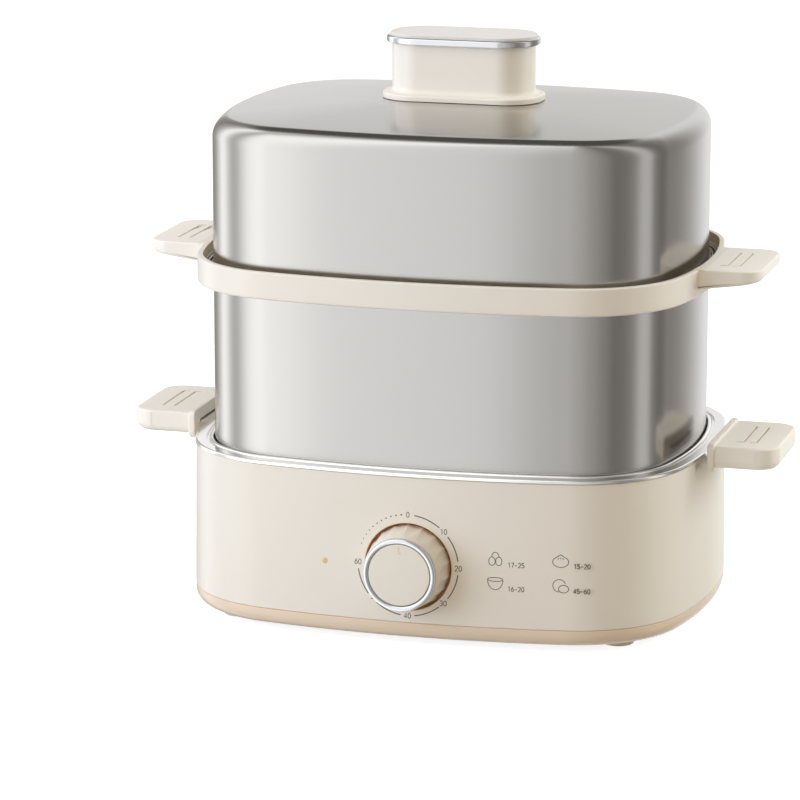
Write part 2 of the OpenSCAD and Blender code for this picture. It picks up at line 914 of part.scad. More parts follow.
// A rocking lever whose two pallets stop and release the escape wheel
module anchor() {
    pallet_far = escape_r + 1.3;
    color(steel) {
        arbor(anchor_x, anchor_z);
        sheet_y(timer_y + 10.4, timer_y + 11.4)
            for (t = [66, -10]) {
                tip = [third_x + pallet_far * cos(t), third_z + pallet_far * sin(t)];
                d = tip - [anchor_x, anchor_z];
                translate([anchor_x, anchor_z])
                    rotate(atan2(d[1], d[0]))
                        translate([0, -0.6])
                            square([norm(d), 1.2]);
            }
    }
}

module pan() {
    color(steel)
        difference() {
            union() {
                ring([
                    [-24, pan_floor], [-24, pan_floor + pan_sheet], [-pan_in - 2.6, pan_floor + pan_sheet],
                    [-pan_in - 0.6, pan_floor + 1.6], [-pan_in, pan_floor + 3.4], [-pan_in, step_z - 1.2],
                    [-pan_in + 1, step_z], [-mouth_in - 0.6, step_z], [-mouth_in, step_z + 0.6],
                    [-mouth_in, 80.7], [-7.9, 81.3], [-7.2, 81.5], [-6.6, 81.2], [-6.2, 80.4], [-5.9, 80],
                    [-5.3, 80], [-5, 80.5], [-4.7, flange_z], [-0.5, flange_z], [0.1, 80.9], [0.5, 80.4],
                    [0.5, 79.6], [-0.2, 79.6], [-0.3, tab_z], [-4.4, tab_z], [-4.7, 79.2],
                    [-7.6, 79.2], [-7.6, step_z + 0.4], [-8.4, step_z - 0.8], [-pan_in + 1.3, step_z - 0.8],
                    [-pan_in + pan_sheet, step_z - 1.4], [-pan_in + pan_sheet, pan_floor + 3.2],
                    [-pan_in - 0.1, pan_floor + 1], [-pan_in - 2.4, pan_floor]
                ]);
                plate(-23, pan_floor, pan_floor + pan_sheet);
                for (sx = mirrored)
                    span([sx * (a + tab_x - 4) / 2 - (tab_x - a + 4) / 2, -tab_half, tab_z],
                         [sx * (a + tab_x - 4) / 2 + (tab_x - a + 4) / 2, tab_half, flange_z]);
            }
            for (sx = mirrored)
                for (sy = mirrored)
                    translate([sx * handle_screw_x, sy * handle_screw_y, tab_z - 1])
                        cylinder(h = 3, r = 1.8, $fn = 32);
        }
}

// A pan handle: an upright plate that faces the base, and a grip with softened edges
module pan_handle(sx) {
    grip_z = pan_handle_top - 10.7;
    grip_len = pan_handle_x - grip_in_x;
    soft = 4;
    groove_half = 15.8;
    color(cream)
        difference() {
            union() {
                translate([sx * (plate_in_x + grip_in_x) / 2, 0, 80.65])
                    rotate([0, 90, 0])
                        translate([0, 0, -(grip_in_x - plate_in_x) / 2])
                            linear_extrude(grip_in_x - plate_in_x)
                                round_rect(13.3, 2 * handle_half + 1, 3);
                intersection() {
                    translate([sx * (pan_handle_x - grip_len / 2 - 6), 0, grip_z - 1])
                        linear_extrude(20)
                            round_rect(grip_len + 12, 2 * handle_half - 2, 10);
                    translate([0, handle_half, 0])
                        rotate([90, 0, 0])
                            linear_extrude(2 * handle_half)
                                grip_profile(sx, grip_z, soft);
                }
            }
            span([min(sx * (plate_in_x - 1), sx * (tab_x + 0.6)), -tab_half - 1, tab_z - 0.3],
                 [max(sx * (plate_in_x - 1), sx * (tab_x + 0.6)), tab_half + 1, flange_z + 0.7]);
            for (gx = [138.4, 144.3])
                span([sx * gx - 0.5, -groove_half, pan_handle_top - 0.6],
                     [sx * gx + 0.5, groove_half, pan_handle_top + 1]);
            for (sy = mirrored)
                translate([sx * handle_screw_x, sy * handle_screw_y, 0]) {
                    translate([0, 0, 70])
                        cylinder(h = grip_z + 2 - 70, r = 3.3, $fn = 32);
                    translate([0, 0, 70])
                        cylinder(h = 15, r = 1.5, $fn = 32);
                }
        }
}

// Side view of a grip, with a large radius below and a small one above
module grip_profile(sx, z0, soft) {
    x0 = grip_in_x - 1;
    x1 = pan_handle_x;
    mirror([sx < 0 ? 1 : 0, 0])
        polygon(concat(
            [[x0, z0]],
            arc_pts(x1 - soft, z0 + soft, soft, -90, 0, 6),
            arc_pts(x1 - 1.2, pan_handle_top - 1.2, 1.2, 0, 90, 3),
            [[x0, pan_handle_top]]
        ));
}

module pan_handle_screws() {
    z0 = pan_handle_top - 8.7;
    color(bright)
        for (sx = mirrored)
            for (sy = mirrored)
                translate([sx * handle_screw_x, sy * handle_screw_y, z0]) {
                    translate([0, 0, -1.6])
                        cylinder(h = 1.6, r = 3, $fn = 32);
                    translate([0, 0, -0.1])
                        cylinder(h = 6.6, r = 1.4, $fn = 32);
                }
}

// Holes on a square grid, alternate rows shifted, kept away from the edge
module steam_holes(z0) {
    for (i = [-6 : 6])
        for (j = [-4 : 4]) {
            x = i * hole_pitch + (abs(j) % 2) * hole_pitch / 2;
            y = j * hole_pitch;
            if ((x / 98) ^ 2 + (y / 72) ^ 2 < 1)
                translate([x, y, z0 - 1])
                    cylinder(h = 4, r = hole_r, $fn = 24);
        }
}

module lower_tray() {
    color(steel)
        difference() {
            plate(-mouth_in - 0.5, lower_tray_z, lower_tray_z + tray_t);
            steam_holes(lower_tray_z);
        }
}

module sleeve() {
    s = -wall_inset;
    color(steel)
        ring([
            [s - 2.6, sleeve_z], [s - 0.9, sleeve_z + 0.6], [s, sleeve_z + 2.6], [s, seat_z - 1],
            [s + 0.6, seat_z], [-5.3, seat_z], [-4.7, seat_z + 0.6], [-4.7, seat_top - 0.4], [-5, seat_top],
            [-5.6, seat_top], [-5.9, seat_top - 0.4], [-5.9, seat_top - 1], [-5.4, seat_top - 1.3],
            [-5.4, seat_z + 0.7], [s, seat_z + 0.7], [s - sheet_t, seat_z - 0.2],
            [s - sheet_t, sleeve_z + 2.8], [s - 1.4, sleeve_z + 1.2], [s - 2.6, sleeve_z + 0.7]
        ]);
}

// The band round the top of the sleeve, moulded in one with its two handles
module sleeve_band() {
    color(cream)
        difference() {
            union() {
                ring([
                    [-2.6, band_z], [-1.9, band_z + 0.5], [band_off, band_z + 1.6], [band_off, band_top - 0.5],
                    [band_off - 0.5, band_top], [band_in, band_top], [band_in, seat_top + 0.3],
                    [-4.5, seat_top + 0.2], [-4.5, seat_z - 0.2], [-wall_inset + 0.2, seat_z - 1.2],
                    [-wall_inset + 0.2, band_z]
                ]);
                for (sx = mirrored)
                    sleeve_handle(sx);
            }
            for (sx = mirrored)
                for (gx = [129.2, 135])
                    span([sx * gx - 0.5, -15.8, band_top - 0.6], [sx * gx + 0.5, 15.8, band_top + 1]);
        }
}

// The handle's plan meets its side view, and a cut keeps it out of the band's inside
module sleeve_handle(sx) {
    x0 = a - 8;
    root_z = band_z + 2.8;
    tip_z = band_top - 5.2;
    difference() {
        intersection() {
            translate([sx * (sleeve_handle_x + x0) / 2, 0, band_z - 1])
                linear_extrude(30)
                    round_rect(sleeve_handle_x - x0, 2 * handle_half, 10);
            translate([0, handle_half, 0])
                rotate([90, 0, 0])
                    linear_extrude(2 * handle_half)
                        mirror([sx < 0 ? 1 : 0, 0])
                            polygon(concat(
                                [[x0, root_z]],
                                arc_pts(sleeve_handle_x - 2.2, tip_z + 1.6, 2.2, -80, 0, 4),
                                arc_pts(sleeve_handle_x - 0.8, band_top - 0.8, 0.8, 0, 90, 2),
                                [[x0, band_top]]
                            ));
        }
        plate(band_in + 1.4, band_z - 5, band_top + 5);
    }
}

module upper_tray() {
    edge = -6.6;
    color(steel)
        difference() {
            union() {
                plate(edge - 0.2, upper_tray_z, upper_tray_z + tray_t);
                ring([
                    [edge, upper_tray_z], [edge, upper_tray_z + 3.4], [edge - 0.3, upper_tray_z + 3.8],
                    [edge - 0.9, upper_tray_z + 3.8], [edge - 1.2, upper_tray_z + 3.4],
                    [edge - 1.2, upper_tray_z + tray_t], [edge - 3, upper_tray_z + tray_t],
                    [edge - 3, upper_tray_z]
                ]);
            }
            steam_holes(upper_tray_z);
        }
}

// The lid's surface: a wall, a rounded turn, then the outline shrunk towards a crown
lid_cols = 8;
turn_steps = [20, 40, 60, 90 - lid_slope];
dome_steps = [0.85, 0.7, 0.52, 0.3];
function lid_ring(off, z) = [for (p = outline(off, lid_cols)) [p[0], p[1], z]];
function lid_rows(t) =
    let (c = -wall_inset - lid_edge_r, r = lid_edge_r - t)
    let (edge = c + r * sin(lid_slope), edge_z = lid_turn_z + r * cos(lid_slope))
    concat(
        [lid_ring(c + r, lid_z), lid_ring(c + r, lid_turn_z)],
        [for (s = turn_steps) lid_ring(c + r * cos(s), lid_turn_z + r * sin(s))],
        [for (k = dome_steps)
            [for (p = outline(edge, lid_cols))
                [k * p[0], k * p[1], edge_z + (lid_crown_z - t - edge_z) * (1 - k * k)]]]
    );
// A closed body between two stacks of rings that share their lowest edge, each ended by a crown point
module crowned(outer, inner, crown_out, crown_in) {
    n = len(outer[0]);
    m = len(outer);
    pts = concat([for (r = outer) each r], [for (r = inner) each r], [[0, 0, crown_out], [0, 0, crown_in]]);
    top = 2 * m * n;
    sides = [
        for (side = [0, 1])
            for (i = [0 : m - 2])
                for (j = [0 : n - 1])
                    let (p = side * m * n + i * n, q = (j + 1) % n)
                    each side == 0
                        ? [[p + j, p + n + j, p + q], [p + q, p + n + j, p + n + q]]
                        : [[p + j, p + q, p + n + j], [p + q, p + n + q, p + n + j]]
    ];
    crowns = [
        for (j = [0 : n - 1])
            let (q = (j + 1) % n, p = (m - 1) * n, s = m * n + (m - 1) * n)
            each [[p + j, top, p + q], [s + j, s + q, top + 1]]
    ];
    lower_edge = [
        for (j = [0 : n - 1])
            let (q = (j + 1) % n, s = m * n)
            each [[j, q, s + j], [q, s + q, s + j]]
    ];
    polyhedron(points = pts, faces = concat(sides, crowns, lower_edge), convexity = 6);
}

module lid_shell() {
    color(steel)
        difference() {
            crowned(lid_rows(0), lid_rows(sheet_t), lid_crown_z, lid_crown_z - sheet_t);
            for (sx = mirrored)
                translate([sx * lid_screw_x, 0, lid_turn_z])
                    cylinder(h = 20, r = 2.2, $fn = 32);
        }
}

// The room taken by the lid's crown, lifted a little, for the parts that sit on it
module lid_room(gap) {
    rows = lid_rows(0);
    m = len(rows) - 1;
    n = len(rows[0]);
    pts = concat([for (k = [1 : m]) each rows[k]], [[0, 0, lid_crown_z]]);
    translate([0, 0, gap])
        polyhedron(
            points = pts,
            faces = concat(
                [[for (j = [0 : n - 1]) j]],
                [
                    for (i = [0 : m - 2])
                        for (j = [0 : n - 1])
                            let (q = (j + 1) % n)
                            each [[i * n + j, (i + 1) * n + j, i * n + q],
                                  [i * n + q, (i + 1) * n + j, (i + 1) * n + q]]
                ],
                [for (j = [0 : n - 1]) [(m - 1) * n + j, m * n, (m - 1) * n + (j + 1) % n]]
            ),
            convexity = 4
        );
}

module lid_handle() {
    foot_w = lid_handle_w + 8.6;
    foot_d = lid_handle_d + 8.4;
    color(cream)
        difference() {
            union() {
                translate([0, 0, lid_crown_z - 3])
                    linear_extrude(ring_z - lid_crown_z + 3)
                        round_rect(lid_handle_w, lid_handle_d, 15);
                translate([0, 0, lid_crown_z - 3])
                    linear_extrude(5.4)
                        round_rect(foot_w, foot_d, 18.5);
                translate([0, 0, lid_crown_z])
                    linear_extrude(4.6)
                        round_rect(lid_handle_w + 3, lid_handle_d + 3, 16);
            }
            lid_room(0.15);
            translate([0, 0, lid_crown_z + 14])
                linear_extrude(30)
                    round_rect(lid_handle_w - 6, lid_handle_d - 6, 12);
            for (sx = mirrored)
                translate([sx * lid_screw_x, 0, lid_crown_z - 5])
                    cylinder(h = 16, r = 1.6, $fn = 32);
        }
}

module lid_handle_band() {
    color(bright)
        translate([0, 0, ring_z + 0.1])
            difference() {
                linear_extrude(ring_top - ring_z - 0.1)
                    round_rect(lid_handle_w + 5, lid_handle_d + 4.6, 17.5);
                translate([0, 0, -1])
                    linear_extrude(8)
                        round_rect(lid_handle_w - 3, lid_handle_d - 3, 13.5);
            }
}

module lid_handle_cap() {
    edge_z = lid_handle_top - 0.5;
    color(cream) {
        translate([0, 0, ring_top + 0.1])
            linear_extrude(edge_z - ring_top - 0.1)
                round_rect(lid_handle_w + 1.6, lid_handle_d + 1.2, 16);
        translate([0, 0, ring_top + 0.1])
            linear_extrude(lid_handle_top - ring_top - 0.1)
                round_rect(lid_handle_w, lid_handle_d - 0.4, 15.2);
        translate([0, 0, ring_z - 3])
            linear_extrude(ring_top - ring_z + 3.2)
                round_rect(lid_handle_w - 7, lid_handle_d - 7, 11.5);
    }
}

module lid_screws() {
    color(bright)
        for (sx = mirrored)
            translate([sx * lid_screw_x, 0, lid_crown_z - 4.3]) {
                cylinder(h = 2.2, r = 3.4, $fn = 32);
                translate([0, 0, 2.1])
                    cylinder(h = 12, r = 1.5, $fn = 32);
            }
}

module lid_washers() {
    color(rubber)
        for (sx = mirrored)
            translate([sx * lid_screw_x, 0, lid_crown_z - 2.05])
                difference() {
                    cylinder(h = 0.9, r = 5, $fn = 48);
                    translate([0, 0, -1])
                        cylinder(h = 4, r = 1.7, $fn = 32);
                }
}

base_shell();
bottom_cover();
foot(-1, -1);  // foot_front_left
foot(1, -1);  // foot_front_right
foot(-1, 1);  // foot_back_left
foot(1, 1);  // foot_back_right
cover_screws();
well_liner();
heating_plate();
heater_screws();
heating_element();
thermostat();
thermostat_clip();
thermal_fuse();
inlet_socket();
inlet_pins();
inlet_screws();
timer_front_plate();
timer_rear_plate();
timer_pillars();
timer_screws();
spring_barrel();
mainspring();
timer_switch();
lamp_lens();
neon_lamp();
wire_live();
wire_heater_feed();
wire_thermostat();
wire_fuse();
wire_neutral();
wire_earth();
lamp_leads();
knob_body();
knob_ring();
knob_cap();
timer_shaft();
main_wheel();
switch_cam();
second_arbor();
second_wheel();
escape_arbor();
escape_wheel();
anchor();
pan();
pan_handle(-1);  // pan_handle_left
pan_handle(1);  // pan_handle_right
pan_handle_screws();
lower_tray();
sleeve();
sleeve_band();
upper_tray();
lid_shell();
lid_handle();
lid_handle_band();
lid_handle_cap();
lid_screws();
lid_washers();
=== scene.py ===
import json
import math

import bmesh
import bpy
import numpy as np
from mathutils import Matrix, Vector
from mathutils.geometry import delaunay_2d_cdt


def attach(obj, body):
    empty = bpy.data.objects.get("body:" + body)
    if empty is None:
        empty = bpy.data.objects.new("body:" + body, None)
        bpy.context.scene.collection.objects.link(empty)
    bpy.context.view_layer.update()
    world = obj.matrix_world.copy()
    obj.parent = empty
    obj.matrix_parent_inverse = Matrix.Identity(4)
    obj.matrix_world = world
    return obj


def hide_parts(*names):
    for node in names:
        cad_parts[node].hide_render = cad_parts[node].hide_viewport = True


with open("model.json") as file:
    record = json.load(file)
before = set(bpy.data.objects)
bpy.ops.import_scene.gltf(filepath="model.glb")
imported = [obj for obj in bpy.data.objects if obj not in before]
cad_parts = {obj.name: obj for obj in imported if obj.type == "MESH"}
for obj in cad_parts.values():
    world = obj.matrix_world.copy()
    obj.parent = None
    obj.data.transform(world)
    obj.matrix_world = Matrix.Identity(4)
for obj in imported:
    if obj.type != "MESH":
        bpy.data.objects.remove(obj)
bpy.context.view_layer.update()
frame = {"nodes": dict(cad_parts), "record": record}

# Lengths below are in millimetres, and mm turns them into metres
mm = 0.001
print("frame loaded:", len(frame["nodes"]), "nodes")


# Camera, at the photograph's place

cameraSettings = {
    "azimuth": 15.8,  # degrees round from the front towards the right
    "elevation": 12.982,
    "distance": 2034.4,
    "right": -29.743,  # how far the line of sight passes beside the origin
    "up": 91.591,
    "lens": 191.389,
    "sensor": 36.0,
}


def makeCamera(s):
    az, el = math.radians(s["azimuth"]), math.radians(s["elevation"])
    back = Vector((math.sin(az) * math.cos(el), -math.cos(az) * math.cos(el), math.sin(el)))
    right = Vector((math.cos(az), math.sin(az), 0.0))
    up = back.cross(right)
    place = (back * s["distance"] + right * s["right"] + up * s["up"]) * mm
    data = bpy.data.cameras.new("photoCamera")
    data.lens = s["lens"]
    data.sensor_width = s["sensor"]
    made = bpy.data.objects.new("photoCamera", data)
    bpy.context.scene.collection.objects.link(made)
    made.matrix_world = Matrix((
        (right.x, up.x, back.x, place.x),
        (right.y, up.y, back.y, place.y),
        (right.z, up.z, back.z, place.z),
        (0.0, 0.0, 0.0, 1.0),
    ))
    bpy.context.scene.camera = made


makeCamera(cameraSettings)
print("camera placed")


# The outline that every tier follows: eight arcs that touch one another

shape = {
    "halfWidth": 122.0,
    "halfDepth": 96.0,
    "cornerRadius": 54.63,
    "frontRadius": 437.43,
    "endRadius": 219.04,
    "cornerSteps": 26,
}


def solveOutline(s):
    # A corner circle touches both bows from inside, which gives a quadratic for its centre
    bowX, bowY = s["endRadius"] - s["halfWidth"], s["frontRadius"] - s["halfDepth"]
    reachX, reachY = s["endRadius"] - s["cornerRadius"], s["frontRadius"] - s["cornerRadius"]
    k0 = (reachY**2 - reachX**2 - bowY**2 + bowX**2) / (2 * bowY)
    k1 = bowX / bowY
    qa, qb, qc = 1 + k1 * k1, bowX + k0 * k1, bowX**2 + k0**2 - reachX**2
    x = (math.sqrt(qb * qb - qa * qc) - qb) / qa
    y = k0 + k1 * x
    s.update(
        bowX=bowX, bowY=bowY, cornerX=x, cornerY=y,
        turn0=math.atan2(y, x + bowX), turn1=math.atan2(y + bowY, x),
    )
    s["turnX"] = s["frontRadius"] * math.cos(s["turn1"])
    s["turnY"] = s["endRadius"] * math.sin(s["turn0"])


solveOutline(shape)


def row(*stretches):
    # Rising values: each stretch is (first, last, steps), and the end of one is the start of the next
    parts = [np.linspace(a, b, n, endpoint=False) for a, b, n in stretches]
    return np.concatenate(parts + [[stretches[-1][1]]])


def columnsRound(endY=None, frontX=None, backX=None, flags=None, at=0.0):
    # Columns of points round the outline, anticlockwise from the front of the right end: for each the
    # arc's centre and radius and the outward direction. endY, frontX and backX are the places of the
    # columns on the bows, held at the offset at; flags marks some of endY's places, such as those inside
    # a handle.
    endY = row((-shape["turnY"], shape["turnY"], 16)) if endY is None else endY
    frontX = row((-shape["turnX"], shape["turnX"], 24)) if frontX is None else frontX
    backX = row((-shape["turnX"], shape["turnX"], 24)) if backX is None else backX
    flags = np.zeros(len(endY)) if flags is None else flags
    end = np.arcsin(np.clip(endY / (shape["endRadius"] + at), -1, 1))
    front = np.arccos(frontX / (shape["frontRadius"] + at))
    back = np.arccos(backX[::-1] / (shape["frontRadius"] + at))
    end[[0, -1]] = -shape["turn0"], shape["turn0"]
    corner = np.linspace(shape["turn0"], shape["turn1"], shape["cornerSteps"] + 1)
    front[[0, -1]] = math.pi - shape["turn1"], shape["turn1"]
    back[[0, -1]] = shape["turn1"], math.pi - shape["turn1"]
    arcs = [
        (end, -shape["bowX"], 0, shape["endRadius"], flags, 1),
        (corner, shape["cornerX"], shape["cornerY"], shape["cornerRadius"], None, 0),
        (back, 0, -shape["bowY"], shape["frontRadius"], None, 0),
        (math.pi - corner[::-1], -shape["cornerX"], shape["cornerY"], shape["cornerRadius"], None, 0),
        (math.pi - end[::-1], shape["bowX"], 0, shape["endRadius"], flags[::-1], -1),
        (math.pi + corner, -shape["cornerX"], -shape["cornerY"], shape["cornerRadius"], None, 0),
        (-front, 0, shape["bowY"], shape["frontRadius"], None, 0),
        (-corner[::-1], shape["cornerX"], -shape["cornerY"], shape["cornerRadius"], None, 0),
    ]
    turn = np.concatenate([a[0][:-1] for a in arcs])
    made = {key: np.concatenate([np.full(len(a[0]) - 1, a[k]) for a in arcs])
            for key, k in (("x", 1), ("y", 2), ("radius", 3), ("side", 5))}
    marks = [np.zeros(len(a[0]) - 1) if a[4] is None else a[4][:-1] for a in arcs]
    made["flag"] = np.concatenate(marks) > 0
    made["cos"], made["sin"] = np.cos(turn), np.sin(turn)
    return made


def ring(c, offset, height):
    # Points of a profile carried round the outline: centre + (radius + offset) * direction, at that
    # height. offset and height hold one value to a row, or a value for each column and row.
    offset, height = np.broadcast_arrays(np.asarray(offset, float), np.asarray(height, float))
    if offset.ndim == 1:
        offset, height = np.tile(offset, (len(c["x"]), 1)), np.tile(height, (len(c["x"]), 1))
    far = c["radius"][:, None] + offset
    x = c["x"][:, None] + far * c["cos"][:, None]
    y = c["y"][:, None] + far * c["sin"][:, None]
    return np.stack([x, y, height], -1)


def rounded(corners, steps=4):
    # A profile whose corners (across, up, radius) are rounded by arcs that touch both sides: the centre
    # of an arc lies on the bisector, at radius / sin(half the corner's angle) from the corner.
    p = np.array([c[:2] for c in corners], float)
    before, after = np.roll(p, 1, 0) - p, np.roll(p, -1, 0) - p
    before /= np.linalg.norm(before, axis=1)[:, None]
    after /= np.linalg.norm(after, axis=1)[:, None]
    made = []
    for corner, radius, u, v in zip(p, [c[2] for c in corners], before, after):
        half = math.acos(max(-1.0, min(1.0, float(u @ v)))) / 2
        if radius == 0 or math.pi / 2 - half < 0.01:
            made.append(corner[None])
            continue
        centre = corner + (u + v) / np.linalg.norm(u + v) * radius / math.sin(half)
        reach = radius / math.tan(half)
        first, last = corner + u * reach - centre, corner + v * reach - centre
        start = math.atan2(first[1], first[0])
        sweep = (math.atan2(last[1], last[0]) - start + math.pi) % (2 * math.pi) - math.pi
        t = start + sweep * np.linspace(0, 1, steps + 1)
        made.append(centre + radius * np.stack([np.cos(t), np.sin(t)], -1))
    return np.concatenate(made)


def gridFaces(size, wrap=(True, True), keep=None):
    # Four-sided faces between neighbours of a grid of points, each grid direction closed on itself or not
    index = np.arange(size[0] * size[1]).reshape(size)
    if wrap[0]:
        index = np.vstack([index, index[:1]])
    if wrap[1]:
        index = np.hstack([index, index[:, :1]])
    quads = np.stack([index[:-1, :-1], index[1:, :-1], index[1:, 1:], index[:-1, 1:]], -1)
    return quads.reshape(-1, 4) if keep is None else quads[keep]


def swept(c, profile):
    # A closed profile carried round the outline
    points = ring(c, profile[:, 0], profile[:, 1])
    return points, gridFaces(points.shape[:2])


def circle(x, y, radius, steps=48):
    t = np.linspace(0, 2 * math.pi, steps, endpoint=False)
    return np.stack([x + radius * np.cos(t), y + radius * np.sin(t)], -1)


def roundRect(width, depth, radius, cornerSteps=10, sideSteps=8):
    # A rectangle with round corners, anticlockwise: each corner is a quarter circle, and the points on
    # the straight stretch after it lie evenly between its end and the next corner's start.
    t = np.linspace(0, math.pi / 2, cornerSteps + 1)
    loop = []
    for k, (sx, sy) in enumerate([(1, 1), (-1, 1), (-1, -1), (1, -1)]):
        cx, cy = sx * (width / 2 - radius), sy * (depth / 2 - radius)
        angle = t + k * math.pi / 2
        loop.append(np.stack([cx + radius * np.cos(angle), cy + radius * np.sin(angle)], -1))
    made = []
    for k in range(4):
        a, b = loop[k][-1], loop[(k + 1) % 4][0]
        s = np.linspace(0, 1, sideSteps + 1)[1:-1, None]
        made += [loop[k], a + (b - a) * s]
    return np.concatenate(made)


def stack(loops, heights, first="open", last="open"):
    # Rings of points one above another, joined by faces. A height is one number or one to a point, and an
    # end is left open or filled by one flat face.
    points = np.stack([np.column_stack([p, np.broadcast_to(h, len(p))]) for p, h in zip(loops, heights)])
    n, m = points.shape[:2]
    faces = gridFaces((n, m), (False, True))[:, ::-1].tolist()
    if first == "flat":
        faces.append(list(range(m))[::-1])
    if last == "flat":
        faces.append(list(range((n - 1) * m, n * m)))
    return points, faces


def turned(profile, steps=96):
    # A profile of (radius, height) turned about the local axis; points on the axis are merged later
    loops = [circle(0, 0, max(r, 0.0), steps) for r, _ in profile]
    return stack(loops, [h for _, h in profile])


def placed(part, origin, right=(1, 0, 0), up=(0, 1, 0)):
    # Moves a part from its own axes to origin, with its x along right and its y along up
    points, faces = part
    right, up = np.array(right, float), np.array(up, float)
    axes = np.stack([right, up, np.cross(right, up)])
    return points.reshape(-1, 3) @ axes + np.array(origin, float), faces


def punched(outer, holes, low, high, lowOuter=None):
    # A flat sheet with holes: a constrained triangulation of the outline and the hole loops at two
    # heights, and the walls of the holes. A triangle stays where a line from its middle towards +x
    # crosses the loops an odd number of times, which is inside the outline and outside the holes.
    parts = []
    for z, loop, flip in ((high, outer, False), (low, outer if lowOuter is None else lowOuter, True)):
        loops = [loop] + holes
        flat = np.concatenate(loops)
        starts = np.cumsum([0] + [len(p) for p in loops])
        following = np.concatenate([s + np.roll(np.arange(len(p)), -1) for s, p in zip(starts, loops)])
        edges = np.column_stack([np.arange(len(flat)), following])
        found = delaunay_2d_cdt([Vector(p) for p in flat.tolist()], edges.tolist(), [], 1, 1e-6)
        xy, tri = np.array([tuple(v) for v in found[0]]), np.array(found[2])
        mid = xy[tri].mean(1)
        a, b = flat[edges[:, 0]], flat[edges[:, 1]]
        above = (a[:, 1] > mid[:, 1, None]) != (b[:, 1] > mid[:, 1, None])
        slope = (b[:, 0] - a[:, 0]) / np.where(b[:, 1] == a[:, 1], 1, b[:, 1] - a[:, 1])
        cross = a[:, 0] + (mid[:, 1, None] - a[:, 1]) * slope > mid[:, 0, None]
        tri = tri[(above & cross).sum(1) % 2 == 1]
        parts.append((np.column_stack([xy, np.full(len(xy), z)]), tri[:, ::-1] if flip else tri))
    for hole in holes:
        parts.append(stack([hole, hole], [low, high]))
    return parts


def addMesh(name, parts, weld=True):
    vertices, faces, start = [], [], 0
    for points, polygons in parts:
        flat = np.asarray(points, float).reshape(-1, 3)
        vertices.append(flat)
        faces += [[start + int(i) for i in f] for f in polygons]
        start += len(flat)
    mesh = bpy.data.meshes.new(name)
    mesh.from_pydata((np.concatenate(vertices) * mm).tolist(), [], faces)
    work = bmesh.new()
    work.from_mesh(mesh)
    if weld:
        bmesh.ops.remove_doubles(work, verts=work.verts, dist=0.002 * mm)
        bmesh.ops.recalc_face_normals(work, faces=work.faces)
    loose = [v for v in work.verts if not v.link_faces]
    bmesh.ops.delete(work, geom=loose, context="VERTS")
    work.to_mesh(mesh)
    work.free()
    made = bpy.data.objects.new(name, mesh)
    bpy.context.scene.collection.objects.link(made)
    return made


def piece(name, body, parts, finish, stands=(), sharp=35, even=True, inner=()):
    # Makes one visible piece: points and faces become a mesh whose doubles are merged, shaded smooth but
    # for edges over the sharp angle, with normals that follow the larger faces. inner holds further
    # finishes, each with a test of the faces' middles that picks where it goes.
    made = addMesh(name, parts)
    made.data.shade_smooth()
    made.data.set_sharp_from_angle(angle=math.radians(sharp))
    made.data.materials.append(finish)
    if inner:
        middles = np.array([f.center for f in made.data.polygons]) / mm
        index = np.zeros(len(middles), np.int32)
        for k, (second, test) in enumerate(inner):
            made.data.materials.append(second)
            index[test(middles)] = k + 1
        made.data.polygons.foreach_set("material_index", index)
    if even:
        modifier = made.modifiers.new("evenNormals", "WEIGHTED_NORMAL")
        modifier.keep_sharp = True
    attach(made, body)
    if stands:
        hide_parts(*stands)


# Shader maths

class Socket:
    # An output socket that takes part in sums: + - * with sockets or numbers add Math nodes

    def __init__(self, tree, output=None):
        self.tree = tree
        self.output = output

    def node(self, kind, settings=None, inputs=None, output=0):
        # Adds a node of that type: its settings are set first, then the values or links of its sockets
        made = self.tree.nodes.new("ShaderNode" + kind)
        for key, value in (settings or {}).items():
            if key == "stops":
                made.color_ramp.interpolation = "EASE"
                for k, (at, grey) in enumerate(value):
                    stop = made.color_ramp.elements[k] if k < 2 else made.color_ramp.elements.new(at)
                    stop.position = at
                    stop.color = (grey, grey, grey, 1)
            else:
                setattr(made, key, value)
        for key, value in (inputs or {}).items():
            if isinstance(value, Socket):
                self.tree.links.new(value.output, made.inputs[key])
            else:
                made.inputs[key].default_value = value
        return Socket(self.tree, made.outputs[output])

    def other(self, output):
        # Another output of the same node
        return Socket(self.tree, self.output.node.outputs[output])

    def maths(self, operation, *values):
        return self.node("Math", {"operation": operation}, dict(enumerate(values)))

    def __add__(self, other):
        return self.maths("ADD", self, other)

    def __sub__(self, other):
        return self.maths("SUBTRACT", self, other)

    def __rsub__(self, other):
        return self.maths("SUBTRACT", other, self)

    def __mul__(self, other):
        return self.maths("MULTIPLY", self, other)

    __radd__ = __add__
    __rmul__ = __mul__


def startMaterial(name):
    material = bpy.data.materials.new(name)
    material.use_nodes = True
    material.node_tree.nodes.clear()
    return material, Socket(material.node_tree)


def endMaterial(material, shader):
    out = material.node_tree.nodes.new("ShaderNodeOutputMaterial")
    material.node_tree.links.new(shader.output, out.inputs["Surface"])
    return material


def coordsOf(s, scale=(1, 1, 1)):
    place = s.node("TexCoord", output="Object")
    return s.node("Mapping", {}, {"Vector": place, "Scale": scale})


def noise(s, coords, scale, detail):
    return s.node("TexNoise", {}, {"Vector": coords, "Scale": scale, "Detail": detail})


def blendColour(s, factor, low, high):
    return s.node("Mix", {"data_type": "RGBA"}, {0: factor, 6: (*low, 1), 7: (*high, 1)}, 2)


# Noise scales of the finishes, in cells to the metre
cells = {"tone": 18.0, "grain": 2600.0, "cloud": 22.0, "lines": 900.0, "castLines": 500.0}


